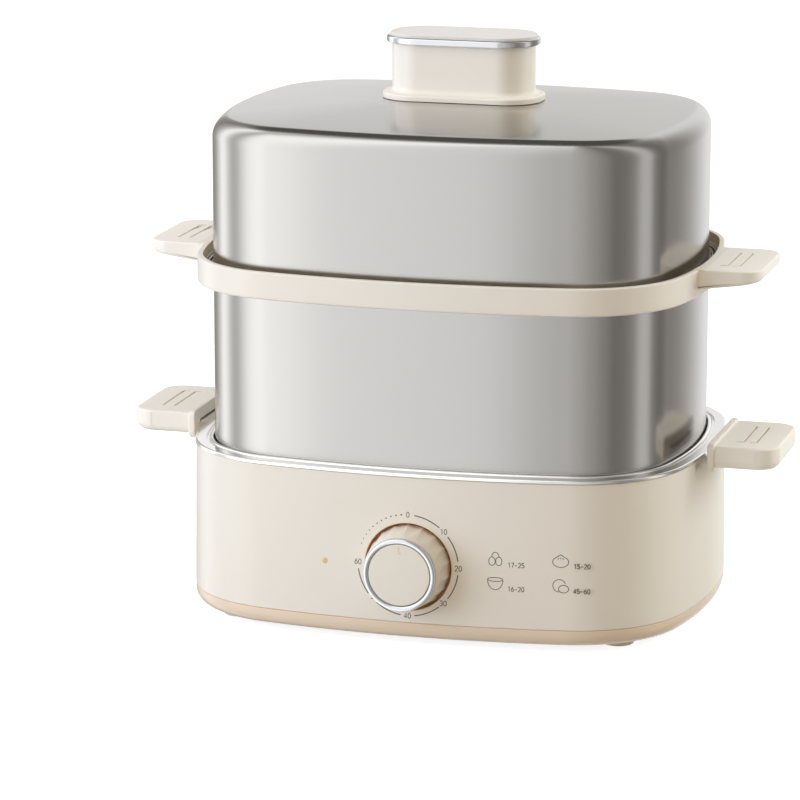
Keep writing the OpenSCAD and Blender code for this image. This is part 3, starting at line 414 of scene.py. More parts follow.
def plastic(name, colour, rough=0.34, grain=0.006, coat=0.0, shift=0.03, specular=0.5):
    # Moulded plastic: a fine spark-eroded grain, a slow change of tone and of gloss over the part
    material, s = startMaterial(name)
    coords = coordsOf(s)
    slow = noise(s, coords, cells["tone"], 3.0)
    fine = noise(s, coords, cells["grain"], 2.0)
    pale = tuple(min(1.0, c * (1 + shift)) for c in colour)
    deep = tuple(c * (1 - shift) for c in colour)
    bump = s.node("Bump", {}, {"Strength": 0.25, "Distance": grain * mm, "Height": fine})
    shader = s.node("BsdfPrincipled", {}, {
        "Base Color": blendColour(s, slow, deep, pale),
        "Roughness": rough - 0.05 + slow * 0.06 + fine * 0.04,
        "Normal": bump,
        "Coat Weight": coat,
        "Coat Roughness": 0.25,
        "Specular IOR Level": specular,
    })
    return endMaterial(material, shader)


def metal(name, colour, rough=0.25, brush=(1, 1, 1), lineScale=cells["lines"], grain=0.002, patch=0.02):
    # Sheet or turned metal: fine lines along the brushing, and a slow cloud of slightly duller places
    material, s = startMaterial(name)
    lines = noise(s, coordsOf(s, brush), lineScale, 3.0)
    cloud = noise(s, coordsOf(s), cells["cloud"], 3.0)
    deep = tuple(c * (1 - patch) for c in colour)
    bump = s.node("Bump", {}, {"Strength": 0.3, "Distance": grain * mm, "Height": lines})
    shader = s.node("BsdfPrincipled", {}, {
        "Base Color": blendColour(s, cloud, deep, colour),
        "Metallic": 1.0,
        "Roughness": rough - 0.04 + lines * 0.05 + cloud * 0.03,
        "Normal": bump,
    })
    return endMaterial(material, shader)


upright = (1, 1, 0.05)  # brushing whose lines run up and down

finishes = {
    "cream": plastic("creamPlastic", (0.84, 0.765, 0.645), rough=0.36, coat=0.25),
    # The band's cream, a little paler than the base's though it is the same plastic: painted light on the
    # band
    "bandCreamPaintedLight": plastic("bandPlasticPaintedLight", (0.85, 0.775, 0.655), rough=0.36, coat=0.25),
    # A paler copy of the same cream plastic for the lid's handle, the pan handles and the band's grips:
    # painted light, making up for the light they get less of than the base
    "creamPaintedLight": plastic("creamPlasticPaintedLight", (0.93, 0.86, 0.74), rough=0.36, coat=0.25),
    # A paler, warmer cream for the shaded wall inside the band: painted bounce light
    "creamPaintedBounce": plastic("creamPlasticPaintedBounce", (0.94, 0.81, 0.62), rough=0.4),
    # A darker, warmer cream for the recess round the knob: painted shade
    "creamPaintedShade": plastic("creamPlasticPaintedShade", (0.74, 0.42, 0.17), rough=0.4),
    # A darker cream for the faces inside the grips' grooves: painted shade
    "groovePaintedShade": plastic("groovePaintedShade", (0.64, 0.53, 0.38), rough=0.5),
    "tan": plastic("tanPlastic", (0.80, 0.63, 0.45), rough=0.42, coat=0.8),
    "cap": plastic("capPlastic", (0.76, 0.72, 0.66), rough=0.45),
    # The feet keep their own tan but made much paler: painted light, for the light that the shade under the
    # body takes away
    "rubber": plastic("footRubberPaintedLight", (0.95, 0.85, 0.70), rough=0.6, grain=0.01),
    "black": plastic("blackPhenolic", (0.03, 0.03, 0.032), rough=0.4),
    "ceramic": plastic("whiteCeramic", (0.80, 0.78, 0.72), rough=0.3),
    "ink": plastic("printInk", (0.11, 0.09, 0.07), rough=0.5),
    "steel": metal("satinStainless", (0.52, 0.512, 0.50), rough=0.19, brush=upright, grain=0.0004),
    "polished": metal("polishedStainless", (0.95, 0.945, 0.935), rough=0.14, brush=upright, grain=0.0004),
    "chrome": metal("polishedChrome", (0.70, 0.715, 0.75), rough=0.08, grain=0.0005, patch=0.01),
    "screw": metal("screwSteel", (0.60, 0.60, 0.60), rough=0.3),
    "spring": metal("stampedSteel", (0.55, 0.55, 0.56), rough=0.35, brush=(1, 1, 6)),
    "blued": metal("bluedSteel", (0.16, 0.19, 0.30), rough=0.25),
    "tube": metal("heaterTube", (0.33, 0.31, 0.29), rough=0.45, grain=0.01),
    "sheet": metal("pressedAluminium", (0.70, 0.71, 0.72), rough=0.3, brush=(1, 1, 5)),
    "cast": metal("castAluminium", (0.60, 0.61, 0.62), rough=0.42, lineScale=cells["castLines"],
                  grain=0.02, patch=0.08),
    "brass": metal("brassSheet", (0.75, 0.57, 0.26), rough=0.28, brush=(1, 8, 1)),
    "amber": plastic("amberLens", (0.76, 0.55, 0.27), rough=0.2, specular=0.6),
    "neon": plastic("neonGlass", (0.90, 0.62, 0.38), rough=0.1),
    "brown": plastic("brownInsulation", (0.20, 0.09, 0.04), rough=0.45),
    "white": plastic("whiteInsulation", (0.78, 0.77, 0.74), rough=0.45),
    "blue": plastic("blueInsulation", (0.05, 0.14, 0.45), rough=0.45),
    "green": plastic("greenInsulation", (0.15, 0.40, 0.10), rough=0.45),
}
print("finishes made:", len(finishes))


# Base shell, with the dial's recess, the pockets behind the pan handles and the inlet's hole

base = {
    "seam": 11.2,
    "top": 79.3,
    "draft": 0.8,
    "wall": 2.4,
    "rim": 0.65,
    "ledge": 78.0,
    "ledgeIn": 6.2,
    "pocketIn": 3.4,
    "pocketHalf": 33.0,
    "pocketLow": 69.5,
    "pocketSlope": 75.0,
    "dialHeight": 37.4,
    "recessRadius": 20.4,
    "recessDepth": 4.6,
    "recessFloor": 2.0,
    "recessLip": 0.45,
    "shaftHole": 3.5,
    "patchHalf": 24.0,
    "patchLow": 13.0,
    "patchHigh": 61.0,
    "inletHalf": 14.6,
    "inletLow": 19.0,
    "inletHigh": 41.0,
}


def faceOffset(z):
    # How far the shell's face stands outside the outline at a height: it leans in towards its top
    return base["draft"] * (base["top"] - z) / (base["top"] - base["seam"])


def frontY(x, z, offset=0.0):
    # The front face of the shell at x and z, moved outwards by offset
    far = shape["frontRadius"] + faceOffset(z) + offset
    return shape["bowY"] - np.sqrt(far**2 - np.square(x))


dialY = -shape["halfDepth"] - faceOffset(base["dialHeight"])


def recessPatch(columns, picked, heights, inset, radius):
    # Joins the square of grid points round the recess to a circle: each point of the square runs straight
    # towards the circle's point at the same angle, and lies on the shell's face all the way.
    square = ring(columns, faceOffset(heights) + inset, heights)
    first, last = picked[0], picked[-1]
    low, right = square[first:last, 0], square[last, :-1]
    high, left = square[last:first:-1, -1], square[first, :0:-1]
    edge = np.concatenate([low, right, high, left])
    turn = np.arctan2(edge[:, 2] - base["dialHeight"], edge[:, 0])
    disc = np.stack([radius * np.cos(turn), base["dialHeight"] + radius * np.sin(turn)], -1)
    t = np.linspace(0, 1, 6)[:, None, None]
    flat = edge[None, :, [0, 2]] * (1 - t) + disc[None] * t
    y = frontY(flat[..., 0], flat[..., 1], inset)
    y[0] = edge[:, 1]
    points = np.stack([flat[..., 0], y, flat[..., 1]], -1)
    return points, gridFaces(points.shape[:2], (False, True)), turn


def baseShell():
    b = base
    inPocket = b["pocketHalf"]
    edgeY = row((-shape["turnY"], -inPocket, 6), (-inPocket, inPocket, 20), (inPocket, shape["turnY"], 6))
    endY = np.insert(edgeY, [6, 27], [-inPocket, inPocket])
    flags = (np.arange(len(endY)) >= 7) & (np.arange(len(endY)) <= 27)
    h = b["patchHalf"]
    frontX = row((-shape["turnX"], -h, 10), (-h, h, 24), (h, shape["turnX"], 10))
    backX = row((-shape["turnX"], -b["inletHalf"], 10), (-b["inletHalf"], b["inletHalf"], 6),
                (b["inletHalf"], shape["turnX"], 10))
    c = columnsRound(endY, frontX, backX, flags)
    z = row((b["patchLow"], b["patchHigh"], 24))
    upperZ = [b["pocketLow"], b["pocketLow"], b["top"] - b["rim"] - 1]
    wallZ = np.concatenate([[b["seam"] + 0.3], z, upperZ])
    t = np.linspace(0, math.pi / 2, 6)
    rim = np.stack([-b["rim"] + b["rim"] * np.cos(t), b["top"] - b["rim"] + b["rim"] * np.sin(t)], -1)
    inner = np.array([[-1.35, b["top"]], [-1.53, b["top"] - 0.07], [-1.6, b["top"] - 0.25]])
    ledge = np.array([[-1.6, b["ledge"]], [-b["ledgeIn"], b["ledge"]], [-b["ledgeIn"], b["ledge"] - 1.6]])
    innerZ = np.concatenate([[b["pocketLow"] - 2], z[::-1], [b["seam"]]])
    offset = np.concatenate([
        [b["draft"] - 0.3], faceOffset(wallZ), rim[:, 0], inner[:, 0], ledge[:, 0],
        [-b["wall"], -b["wall"]], faceOffset(innerZ) - b["wall"],
    ])
    height = np.concatenate([
        [b["seam"]], wallZ, rim[:, 1], inner[:, 1], ledge[:, 1],
        [b["ledge"] - 1.6, b["pocketLow"] - 2], innerZ,
    ])
    n, m = len(c["x"]), len(offset)
    offsets, heights = np.tile(offset, (n, 1)), np.tile(height, (n, 1))
    step = 1 + len(wallZ) - 2
    ledgeRow = step + 2 + len(rim) + len(inner)
    offsets[c["flag"], step:ledgeRow + 1] = -b["pocketIn"]
    heights[c["flag"], step + 2:ledgeRow + 1] = b["ledge"]
    heights[c["flag"], step] = b["pocketSlope"]
    offsets[c["flag"], ledgeRow + 3:ledgeRow + 5] = -b["pocketIn"] - 2
    points = ring(c, offsets, heights)
    keep = np.ones((n, m), bool)
    onFront = (c["y"] > 100) & (np.abs(c["cos"] * c["radius"]) <= h + 0.01)
    picked = np.flatnonzero(onFront)
    lowRow, highRow = 2, 2 + len(z) - 1
    keep[picked[0]:picked[-1], lowRow:highRow] = False
    firstInner = m - len(innerZ) + 1
    keep[picked[0]:picked[-1], firstInner:firstInner + len(z) - 1] = False
    onBack = np.flatnonzero((c["y"] < -100) & (np.abs(c["cos"] * c["radius"]) <= b["inletHalf"] + 0.01))
    inletRows = np.flatnonzero((z >= b["inletLow"] - 0.01) & (z <= b["inletHigh"] + 0.01))
    r0, r1 = lowRow + inletRows[0], lowRow + inletRows[-1]
    i0, i1 = firstInner + len(z) - 1 - inletRows[-1], firstInner + len(z) - 1 - inletRows[0]
    keep[onBack[0]:onBack[-1], r0:r1] = False
    keep[onBack[0]:onBack[-1], i0:i1] = False
    parts = [(points, gridFaces((n, m), keep=keep))]
    # Walls of the inlet's hole: its two sides, then its lower and upper edge
    for k in (onBack[0], onBack[-1]):
        side = np.stack([points[k, r0:r1 + 1], points[k, i0:i1 + 1][::-1]])
        parts.append((side, gridFaces(side.shape[:2], (False, False))))
    span = slice(onBack[0], onBack[-1] + 1)
    for outside, inside in ((r0, i1), (r1, i0)):
        edge = np.stack([points[span, outside], points[span, inside]])
        parts.append((edge, gridFaces(edge.shape[:2], (False, False))))
    lip = b["recessLip"]
    outer, outerFaces, turn = recessPatch(c, picked, z, 0.0, b["recessRadius"] + lip)
    parts.append((outer, outerFaces))
    # The recess: its rounded lip, wall and floor, then the back of the floor and the cup's outside
    s = np.linspace(0, math.pi / 2, 5)
    deep = dialY + b["recessDepth"]
    back = deep + b["recessFloor"]
    rings = [(b["recessRadius"] + lip * (1 - math.sin(a)), "lip", lip * (1 - math.cos(a))) for a in s]
    cupRadius = b["recessRadius"] + 2
    rings += [(b["recessRadius"], "flat", deep - 0.3), (b["recessRadius"] - 0.3, "flat", deep),
              (b["shaftHole"], "flat", deep), (b["shaftHole"], "flat", back), (cupRadius, "flat", back)]
    cup = []
    for radius, kind, depth in rings:
        x, zz = radius * np.cos(turn), b["dialHeight"] + radius * np.sin(turn)
        y = frontY(x, zz) + depth if kind == "lip" else np.full(len(x), depth)
        cup.append(np.stack([x, y, zz], -1))
    innerPatch, innerFaces, _ = recessPatch(c, picked, z, -b["wall"], cupRadius)
    parts.append((innerPatch, innerFaces))
    cup.append(innerPatch[-1])
    parts.append((np.stack(cup), gridFaces((len(cup), len(turn)), (False, True))))
    return parts


def recessPaintedShade(middles):
    # Faces of the recess round the knob, which take a darker, warmer cream: painted shade, for the little
    # light that arrives there only after many bounces off warm plastic
    far = np.hypot(middles[:, 0], middles[:, 2] - base["dialHeight"])
    return (far < base["recessRadius"] + 0.1) & (middles[:, 1] < dialY + 10)


piece("baseShell", "base", baseShell(), finishes["cream"], ["base_shell"],
      inner=[(finishes["creamPaintedShade"], recessPaintedShade)])
print("base shell made")


# Bottom cover, with its rounded lower edge and vents, and the four feet

cover = {
    "low": 3.0,
    "floor": 2.2,
    "floorEdge": -6.4,
    "top": 11.1,
    "out": 0.7,
    "edge": 6.0,
    "lip": (-1.9, -3.3, 13.2),  # outer and inner offset of the lip inside the shell, its top
    "foot": (91.0, 64.0, 7.5),  # x, y, radius
    "footTop": 3.9,
    "footRim": 2.4,
    "footHollow": 0.5,
    "vents": (60.0, 14.0, 1.2, 8.0, 3),  # middle, half length, half width, pitch, count each side
}


def flatOutline(offset):
    return ring(columnsRound(), [offset], [0.0])[:, 0, :2]


def bottomCover():
    v = cover
    centre = v["out"] - v["edge"]
    t = np.linspace(-math.pi / 2, 0, 9)
    edge = np.stack([centre + v["edge"] * np.cos(t), v["low"] + v["edge"] + v["edge"] * np.sin(t)], -1)
    inside = v["low"] + v["floor"]
    out, top = v["out"], v["top"]
    lipOut, lipIn, lipTop = v["lip"]
    rest = np.array([
        [out, top - 0.45], [out - 0.05, top - 0.2], [out - 0.2, top - 0.05], [out - 0.45, top],
        [lipOut, top], [lipOut, lipTop], [lipIn, lipTop],
        [lipIn, 9.0], [-4.2, 6.6], [v["floorEdge"], inside],
    ])
    profile = np.concatenate([edge, rest])
    points = ring(columnsRound(), profile[:, 0], profile[:, 1])
    parts = [(points, gridFaces(points.shape[:2], (True, False)))]
    middle, half, width, pitch, count = v["vents"]
    vent = roundRect(2 * half, 2 * width, width - 0.05, 5, 2)
    holes = [vent + [sx * middle, i * pitch] for sx in (-1, 1) for i in range(-count, count + 1)]
    parts += punched(flatOutline(v["floorEdge"]), holes, v["low"], inside, flatOutline(centre))
    return parts


piece("bottomCover", "base", bottomCover(), finishes["tan"], ["bottom_cover"])


def foot(x, y, radius):
    top, inner, hollow = cover["footTop"], radius - cover["footRim"], cover["footHollow"]
    profile = rounded([(0, top, 0), (radius, top, 0.3), (radius, 0, 0.8), (inner, 0, 0.3),
                       (inner - hollow, hollow, 0.3), (0, hollow, 0)])
    return [placed(turned(profile.tolist()[::-1]), (x, y, 0))]


# The feet's pale tan paints light into the shade under the body
for names, sx, sy in (("Left", -1, -1), ("Right", 1, -1), ("BackLeft", -1, 1), ("BackRight", 1, 1)):
    x, y, radius = cover["foot"]
    node = "foot_" + ("front_" if sy < 0 else "back_") + ("left" if sx < 0 else "right")
    piece("foot" + names, "base", foot(sx * x, sy * y, radius), finishes["rubber"], [node])
print("bottom cover and feet made")


# Knob: a faceted cone, a bright ring and a flat cap

knob = {
    "back": -3.0,
    "front": 13.3,
    "backRadius": 19.6,
    "frontRadius": 17.35,
    "facets": 18,
    "hollow": 1.3,
    "fade": 0.94,  # share of the way to the front at which the facets end
    "frontSoft": 0.35,
    "bore": 3.05,
    "hub": 5.0,
    "hubLow": -1.0,
    "wallBack": 10.4,
    "ringRadius": 17.0,
    "ringHalf": 1.2,
    "out": 15.6,
    "sunk": 2.2,  # how far the ring and the cap reach back from the front
    "cap": 14.4,
    "capTop": 15.3,
    "dome": 0.35,
    "mark": [(0.0, 13.3), (0.0, 10.5), (0.15, 10.15), (0.5, 10.0), (1.0, 10.0)],
    "markWidth": 0.85,
}
dialPlace = {"origin": (0, dialY, base["dialHeight"]), "right": (1, 0, 0), "up": (0, 0, 1)}


# How far a printed line stands out of the surface under it, and how far it reaches in
ink = {"high": 0.04, "low": -0.06}


def ribbon(line, width):
    # Points on both sides of a line, half the width away along the mean of its neighbouring normals,
    # longer where the line bends: 1 / cos(half the bend).
    line = np.array(line, float)
    ahead = np.diff(line, axis=0)
    ahead /= np.linalg.norm(ahead, axis=1)[:, None]
    normal = np.stack([-ahead[:, 1], ahead[:, 0]], -1)
    closed = np.allclose(line[0], line[-1])
    before = np.vstack([normal[-1:] if closed else normal[:1], normal])
    after = np.vstack([normal, normal[:1] if closed else normal[-1:]])
    mean = before + after
    mean /= np.linalg.norm(mean, axis=1)[:, None]
    mean /= np.maximum((mean * before).sum(1), 0.6)[:, None]
    return line + mean * width / 2, line - mean * width / 2


def inkLine(line, width, surface, high=ink["high"], low=ink["low"]):
    # A printed line: a flat bar whose cross-section has four corners, laid on a surface. surface turns
    # flat points and a lift into points in space.
    left, right = ribbon(line, width)
    bar = [surface(left, high), surface(right, high), surface(right, low), surface(left, low)]
    loops = np.stack(bar, 1)
    faces = gridFaces(loops.shape[:2], (False, True)).tolist()
    n = len(line) * 4
    if not np.allclose(line[0], line[-1]):
        faces += [[0, 1, 2, 3], [n - 1, n - 2, n - 3, n - 4]]
    return loops, faces


def knobBody():
    # The knob's side is a cone with flat facets ground into it. A facet's plane stands at P = cone * (1 -
    # (1 - cos(half a step)) * depth) from the axis, where depth falls from 1 at the back to 0 near the
    # front, and it cuts the cone at the angle acos(P / cone) on each side of the facet's middle, where a
    # column of points runs. Between those edges the facet is hollowed by a share of its own depth, times
    # 1 - (angle / edge's angle)^2.
    k = knob
    share = np.concatenate([np.linspace(0.02, k["fade"], 20), [0.97]])
    side = k["back"] + (k["front"] - k["back"]) * share
    cone = k["backRadius"] + (k["frontRadius"] - k["backRadius"]) * share
    half = math.pi / k["facets"]
    depth = np.clip(1 - (share / k["fade"]) ** 2, 0, 1)
    plane = cone * (1 - (1 - math.cos(half)) * depth)
    cut = np.arccos(np.clip(plane / cone, -1, 1))
    u = np.linspace(-1, 1, 7)
    v = np.linspace(0, 1, 5)[1:]
    flat = cut[:, None] * u[None]
    rest = cut[:, None] + (half - cut[:, None]) * v[None]
    off = np.concatenate([-rest[:, -2::-1], flat, rest], 1)
    onCone = np.concatenate([np.ones(3), np.zeros(7), np.ones(4)]) > 0
    hollow = k["hollow"] * (cone - plane)[:, None] * (1 - (off / np.maximum(cut[:, None], 1e-6)) ** 2)
    radius = np.where(onCone[None], cone[:, None], plane[:, None] / np.cos(off) - hollow)
    middles = np.arange(k["facets"]) * 2 * half
    turn = (off[:, None, :] + middles[None, :, None]).reshape(len(share), -1)
    radius = np.tile(radius, (1, k["facets"]))
    rings = [(radius[i], turn[i], side[i]) for i in range(len(side))]
    t = np.linspace(0, math.pi / 2, 5)[1:]
    rise = k["front"] - side[-1]
    soft = k["frontSoft"]
    rings += [(radius[-1] - soft * (1 - math.cos(a)), turn[-1], side[-1] + rise * math.sin(a)) for a in t]
    # Inside: the shaft's bore, the hub round it, the back of the front wall and the skirt
    inner = [(k["bore"], k["hubLow"]), (k["hub"], k["hubLow"]), (k["hub"], k["wallBack"]),
             (k["ringRadius"] - 2.8, k["wallBack"]), (k["backRadius"] - 2, k["back"]),
             (k["backRadius"] - 0.5, k["back"])]
    rings = [(r, turn[0], h) for r, h in inner] + rings + [(k["bore"], turn[0], k["front"])]
    loops = [np.stack([r * np.cos(a), r * np.sin(a), np.full(a.shape, h)], -1) for r, a, h in rings]
    points = np.stack(loops)
    return [placed((points, gridFaces(points.shape[:2])[:, ::-1]), **dialPlace)]


def knobRing():
    # A ring of half-round section on a short straight foot
    k = knob
    t = np.linspace(0, math.pi, 13)
    half, low = k["ringHalf"], k["out"] - k["sunk"]
    middle = k["ringRadius"] - half
    profile = [(middle + half * math.cos(a), k["out"] - half * (1 - math.sin(a))) for a in t]
    profile = [(middle + half, low)] + profile + [(middle - half, low)]
    points, _ = turned(profile, 144)
    return [placed((points, gridFaces(points.shape[:2])), **dialPlace)]


def capHeight(radius):
    return knob["capTop"] - knob["dome"] * (radius / knob["cap"]) ** 2


def knobCap():
    k = knob
    r = k["cap"]
    low = k["out"] - k["sunk"]
    inner = np.linspace(0, r - 0.3, 12)
    edge = capHeight(r - 0.3)
    profile = [(0, low), (r, low), (r, edge - 0.35), (r - 0.08, edge - 0.12)]
    profile += [(a, capHeight(a)) for a in inner[::-1]]
    return [placed(turned(profile, 144), **dialPlace)]


# The engraved pointer is drawn as a tan strip on the cap, whose darker colour paints the groove's shade
def knobMark():
    def surface(flat, lift):
        return np.column_stack([flat, capHeight(np.hypot(flat[:, 0], flat[:, 1])) + lift])

    return [placed(inkLine(knob["mark"], knob["markWidth"], surface, 0.03, -0.3), **dialPlace)]


piece("knobBody", "dial", knobBody(), finishes["cream"], ["knob_body"], sharp=3.2,
      even=False)
piece("knobRing", "dial", knobRing(), finishes["chrome"], ["knob_ring"], even=False)
piece("knobCap", "dial", knobCap(), finishes["cream"], ["knob_cap"])
# The pointer's tan paints the shade of its engraved groove
piece("knobMark", "dial", knobMark(), finishes["tan"], even=False)
print("knob made")


# Print on the front: the dial's scale, four plain pictures and their minutes, and the lamp's lens

printed = {
    "centre": 38.2,
    "radius": 23.7,
    "arcs": [(7.5, 38.5), (52, 82), (97.5, 127.5), (141.5, 172), (188, 218.5), (232, 262)],
    # text, angle, distance from the middle
    "numbers": [("0", 0, 23.7), ("10", 45, 23.7), ("20", 90, 23.7), ("30", 135, 23.7), ("40", 180, 23.7),
                ("50", 225, 22.4), ("60", 270, 23.7)],
    "numberHeight": 2.4,
    "line": 0.5,
    "thin": 0.33,
    "dots": (-7.5, -6.1, 11, 0.40, -0.016),  # first angle, step, count, first radius, its change
    "minutes": [("17-25", 46.4, 41.1), ("15-20", 76.0, 41.5), ("16-20", 46.4, 29.9), ("45-60", 76.0, 29.9)],
    "minutesHeight": 2.1,
    "pictures": {"eggs": (40.7, 43.5), "bun": (70.2, 43.8), "bowl": (40.7, 32.3), "roots": (70.3, 32.1)},
    "lamp": (-39.8, 37.2, 1.42),  # x, z, radius
    "lampDeep": 4.0,
    "lampDome": 0.3,
}


def arcLine(x, z, rx, rz, first, last, steps=14):
    # Points of an ellipse's arc, from one angle to another in degrees
    t = np.radians(np.linspace(first, last, steps + 1))
    return np.stack([x + rx * np.cos(t), z + rz * np.sin(t)], -1)


def joined(*lines):
    return np.concatenate([np.array(line, float) for line in lines])


# Lines of each digit in a box 0.6 wide and 1 high
digits = {
    "0": [arcLine(0.3, 0.5, 0.26, 0.5, 90, 450, 24)],
    "1": [[(0.12, 0.8), (0.36, 1.0), (0.36, 0.0)]],
    "2": [joined(arcLine(0.29, 0.72, 0.25, 0.28, 170, -35), [(0.04, 0.0), (0.56, 0.0)])],
    "3": [arcLine(0.27, 0.75, 0.23, 0.25, 160, -90), arcLine(0.27, 0.25, 0.27, 0.25, 90, -160)],
    "4": [[(0.43, 0.0), (0.43, 1.0), (0.03, 0.28), (0.58, 0.28)]],
    "5": [joined([(0.52, 1.0), (0.12, 1.0), (0.08, 0.56)], arcLine(0.28, 0.31, 0.27, 0.31, 120, -150))],
    "6": [arcLine(0.3, 0.3, 0.26, 0.3, 150, 510, 24), [(0.06, 0.42), (0.2, 0.75), (0.44, 1.0)]],
    "7": [[(0.04, 1.0), (0.56, 1.0), (0.22, 0.0)]],
    "-": [[(0.06, 0.42), (0.5, 0.42)]],
}


def onFront(flat, lift):
    return np.stack([flat[:, 0], frontY(flat[:, 0], flat[:, 1], lift), flat[:, 1]], -1)


def writing(text, x, z, height, middle=False):
    # Lines of a number whose left end, or middle, is at x, and whose half height is at z
    pitch, gap = 0.74 * height, 0.14 * height
    left = x - ((pitch * len(text) - gap) / 2 if middle else 0)
    return [np.array(line) * height + [left + pitch * k, z - height / 2]
            for k, c in enumerate(text) for line in digits[c]]


def inkDot(x, z, radius):
    loop = circle(x, z, radius, 20)
    points = np.stack([onFront(loop, ink["high"]), onFront(loop, ink["low"])])
    n = len(loop)
    return points, gridFaces((2, n), (False, True)).tolist() + [list(range(n)), list(range(n, 2 * n))[::-1]]


def pictureLines(kind, x, z):
    if kind == "eggs":
        lines = [arcLine(-1.55, -0.9, 1.45, 2.0, 90, 450, 24), arcLine(1.55, -0.9, 1.45, 2.0, 90, 450, 24)]
        lines.append(arcLine(0, 1.2, 1.6, 2.1, -8, 188, 20))
    elif kind == "bun":
        lines = [joined([(0.0, 3.0)], arcLine(0, -0.4, 3.6, 2.5, 60, -240, 30), [(0.0, 3.0)])]
        lines += [[(-0.9, 1.5), (-1.2, 0.8)], [(0.0, 1.6), (0.0, 0.9)], [(0.9, 1.5), (1.2, 0.8)]]
    elif kind == "bowl":
        lines = [arcLine(0, 1.8, 3.5, 0.9, 90, 450, 30), arcLine(0, 1.6, 3.5, 4.6, 180, 360, 24)]
    else:
        lines = [arcLine(1.3, -1.3, 2.3, 1.75, 90, 450, 30), arcLine(-0.6, 0.2, 2.9, 2.9, 20, 270, 26)]
    return [np.array(line) + [x, z] for line in lines]


def frontPrint():
    v = printed
    r, h = v["radius"], v["centre"]
    parts = []
    for first, last in v["arcs"]:
        parts.append(inkLine(arcLine(0, h, r, r, 90 - first, 90 - last, 16), v["line"], onFront))
    for text, angle, away in v["numbers"]:
        a = math.radians(angle)
        x, z = away * math.sin(a), h + away * math.cos(a)
        lines = writing(text, x, z, v["numberHeight"], middle=True)
        parts += [inkLine(line, v["thin"], onFront) for line in lines]
    first, step, count, size, change = v["dots"]
    for k in range(count):
        a = math.radians(first + k * step)
        parts.append(inkDot(r * math.sin(a), h + r * math.cos(a), size + change * k))
    for text, x, z in v["minutes"]:
        parts += [inkLine(line, v["thin"], onFront) for line in writing(text, x, z, v["minutesHeight"])]
    for kind, (x, z) in v["pictures"].items():
        parts += [inkLine(line, v["thin"], onFront) for line in pictureLines(kind, x, z)]
    return parts


def lampLens():
    x, z, radius = printed["lamp"]
    deep, dome = printed["lampDeep"], printed["lampDome"]
    t = np.linspace(0, math.pi / 2, 8)
    profile = [(0, -deep), (radius, -deep), (radius, -0.1)]
    profile += [(radius * math.cos(a), dome * math.sin(a)) for a in t]
    return [placed(turned(profile, 48), (x, float(frontY(x, z)), z), (1, 0, 0), (0, 0, 1))]


piece("frontPrint", "base", frontPrint(), finishes["ink"], even=False)
piece("lampLens", "base", lampLens(), finishes["amber"], ["lamp_lens"])
print("front printed")


# Pan: its floor and wall, the bead, the groove and the flange, and the tabs that enter the handles

pan = {"floor": 58.0, "sheet": 0.8, "inset": 13.0, "mouth": 8.3, "step": 72.2, "flange": 81.1,
       "bead": (-7.3, 80.5, 1.0),  # middle's offset, its height, radius
       "grooveFloor": 79.6, "skirt": 79.2, "tabLow": 80.3, "tabHalf": 20.0, "tabReach": 138.0}


def crownRows(loop, shares, heights):
    # Smaller and smaller copies of a loop, each at its height, down to one point
    rows = [np.column_stack([loop * k, np.full(len(loop), h)]) for k, h in zip(shares, heights)]
    return np.stack(rows, 1)


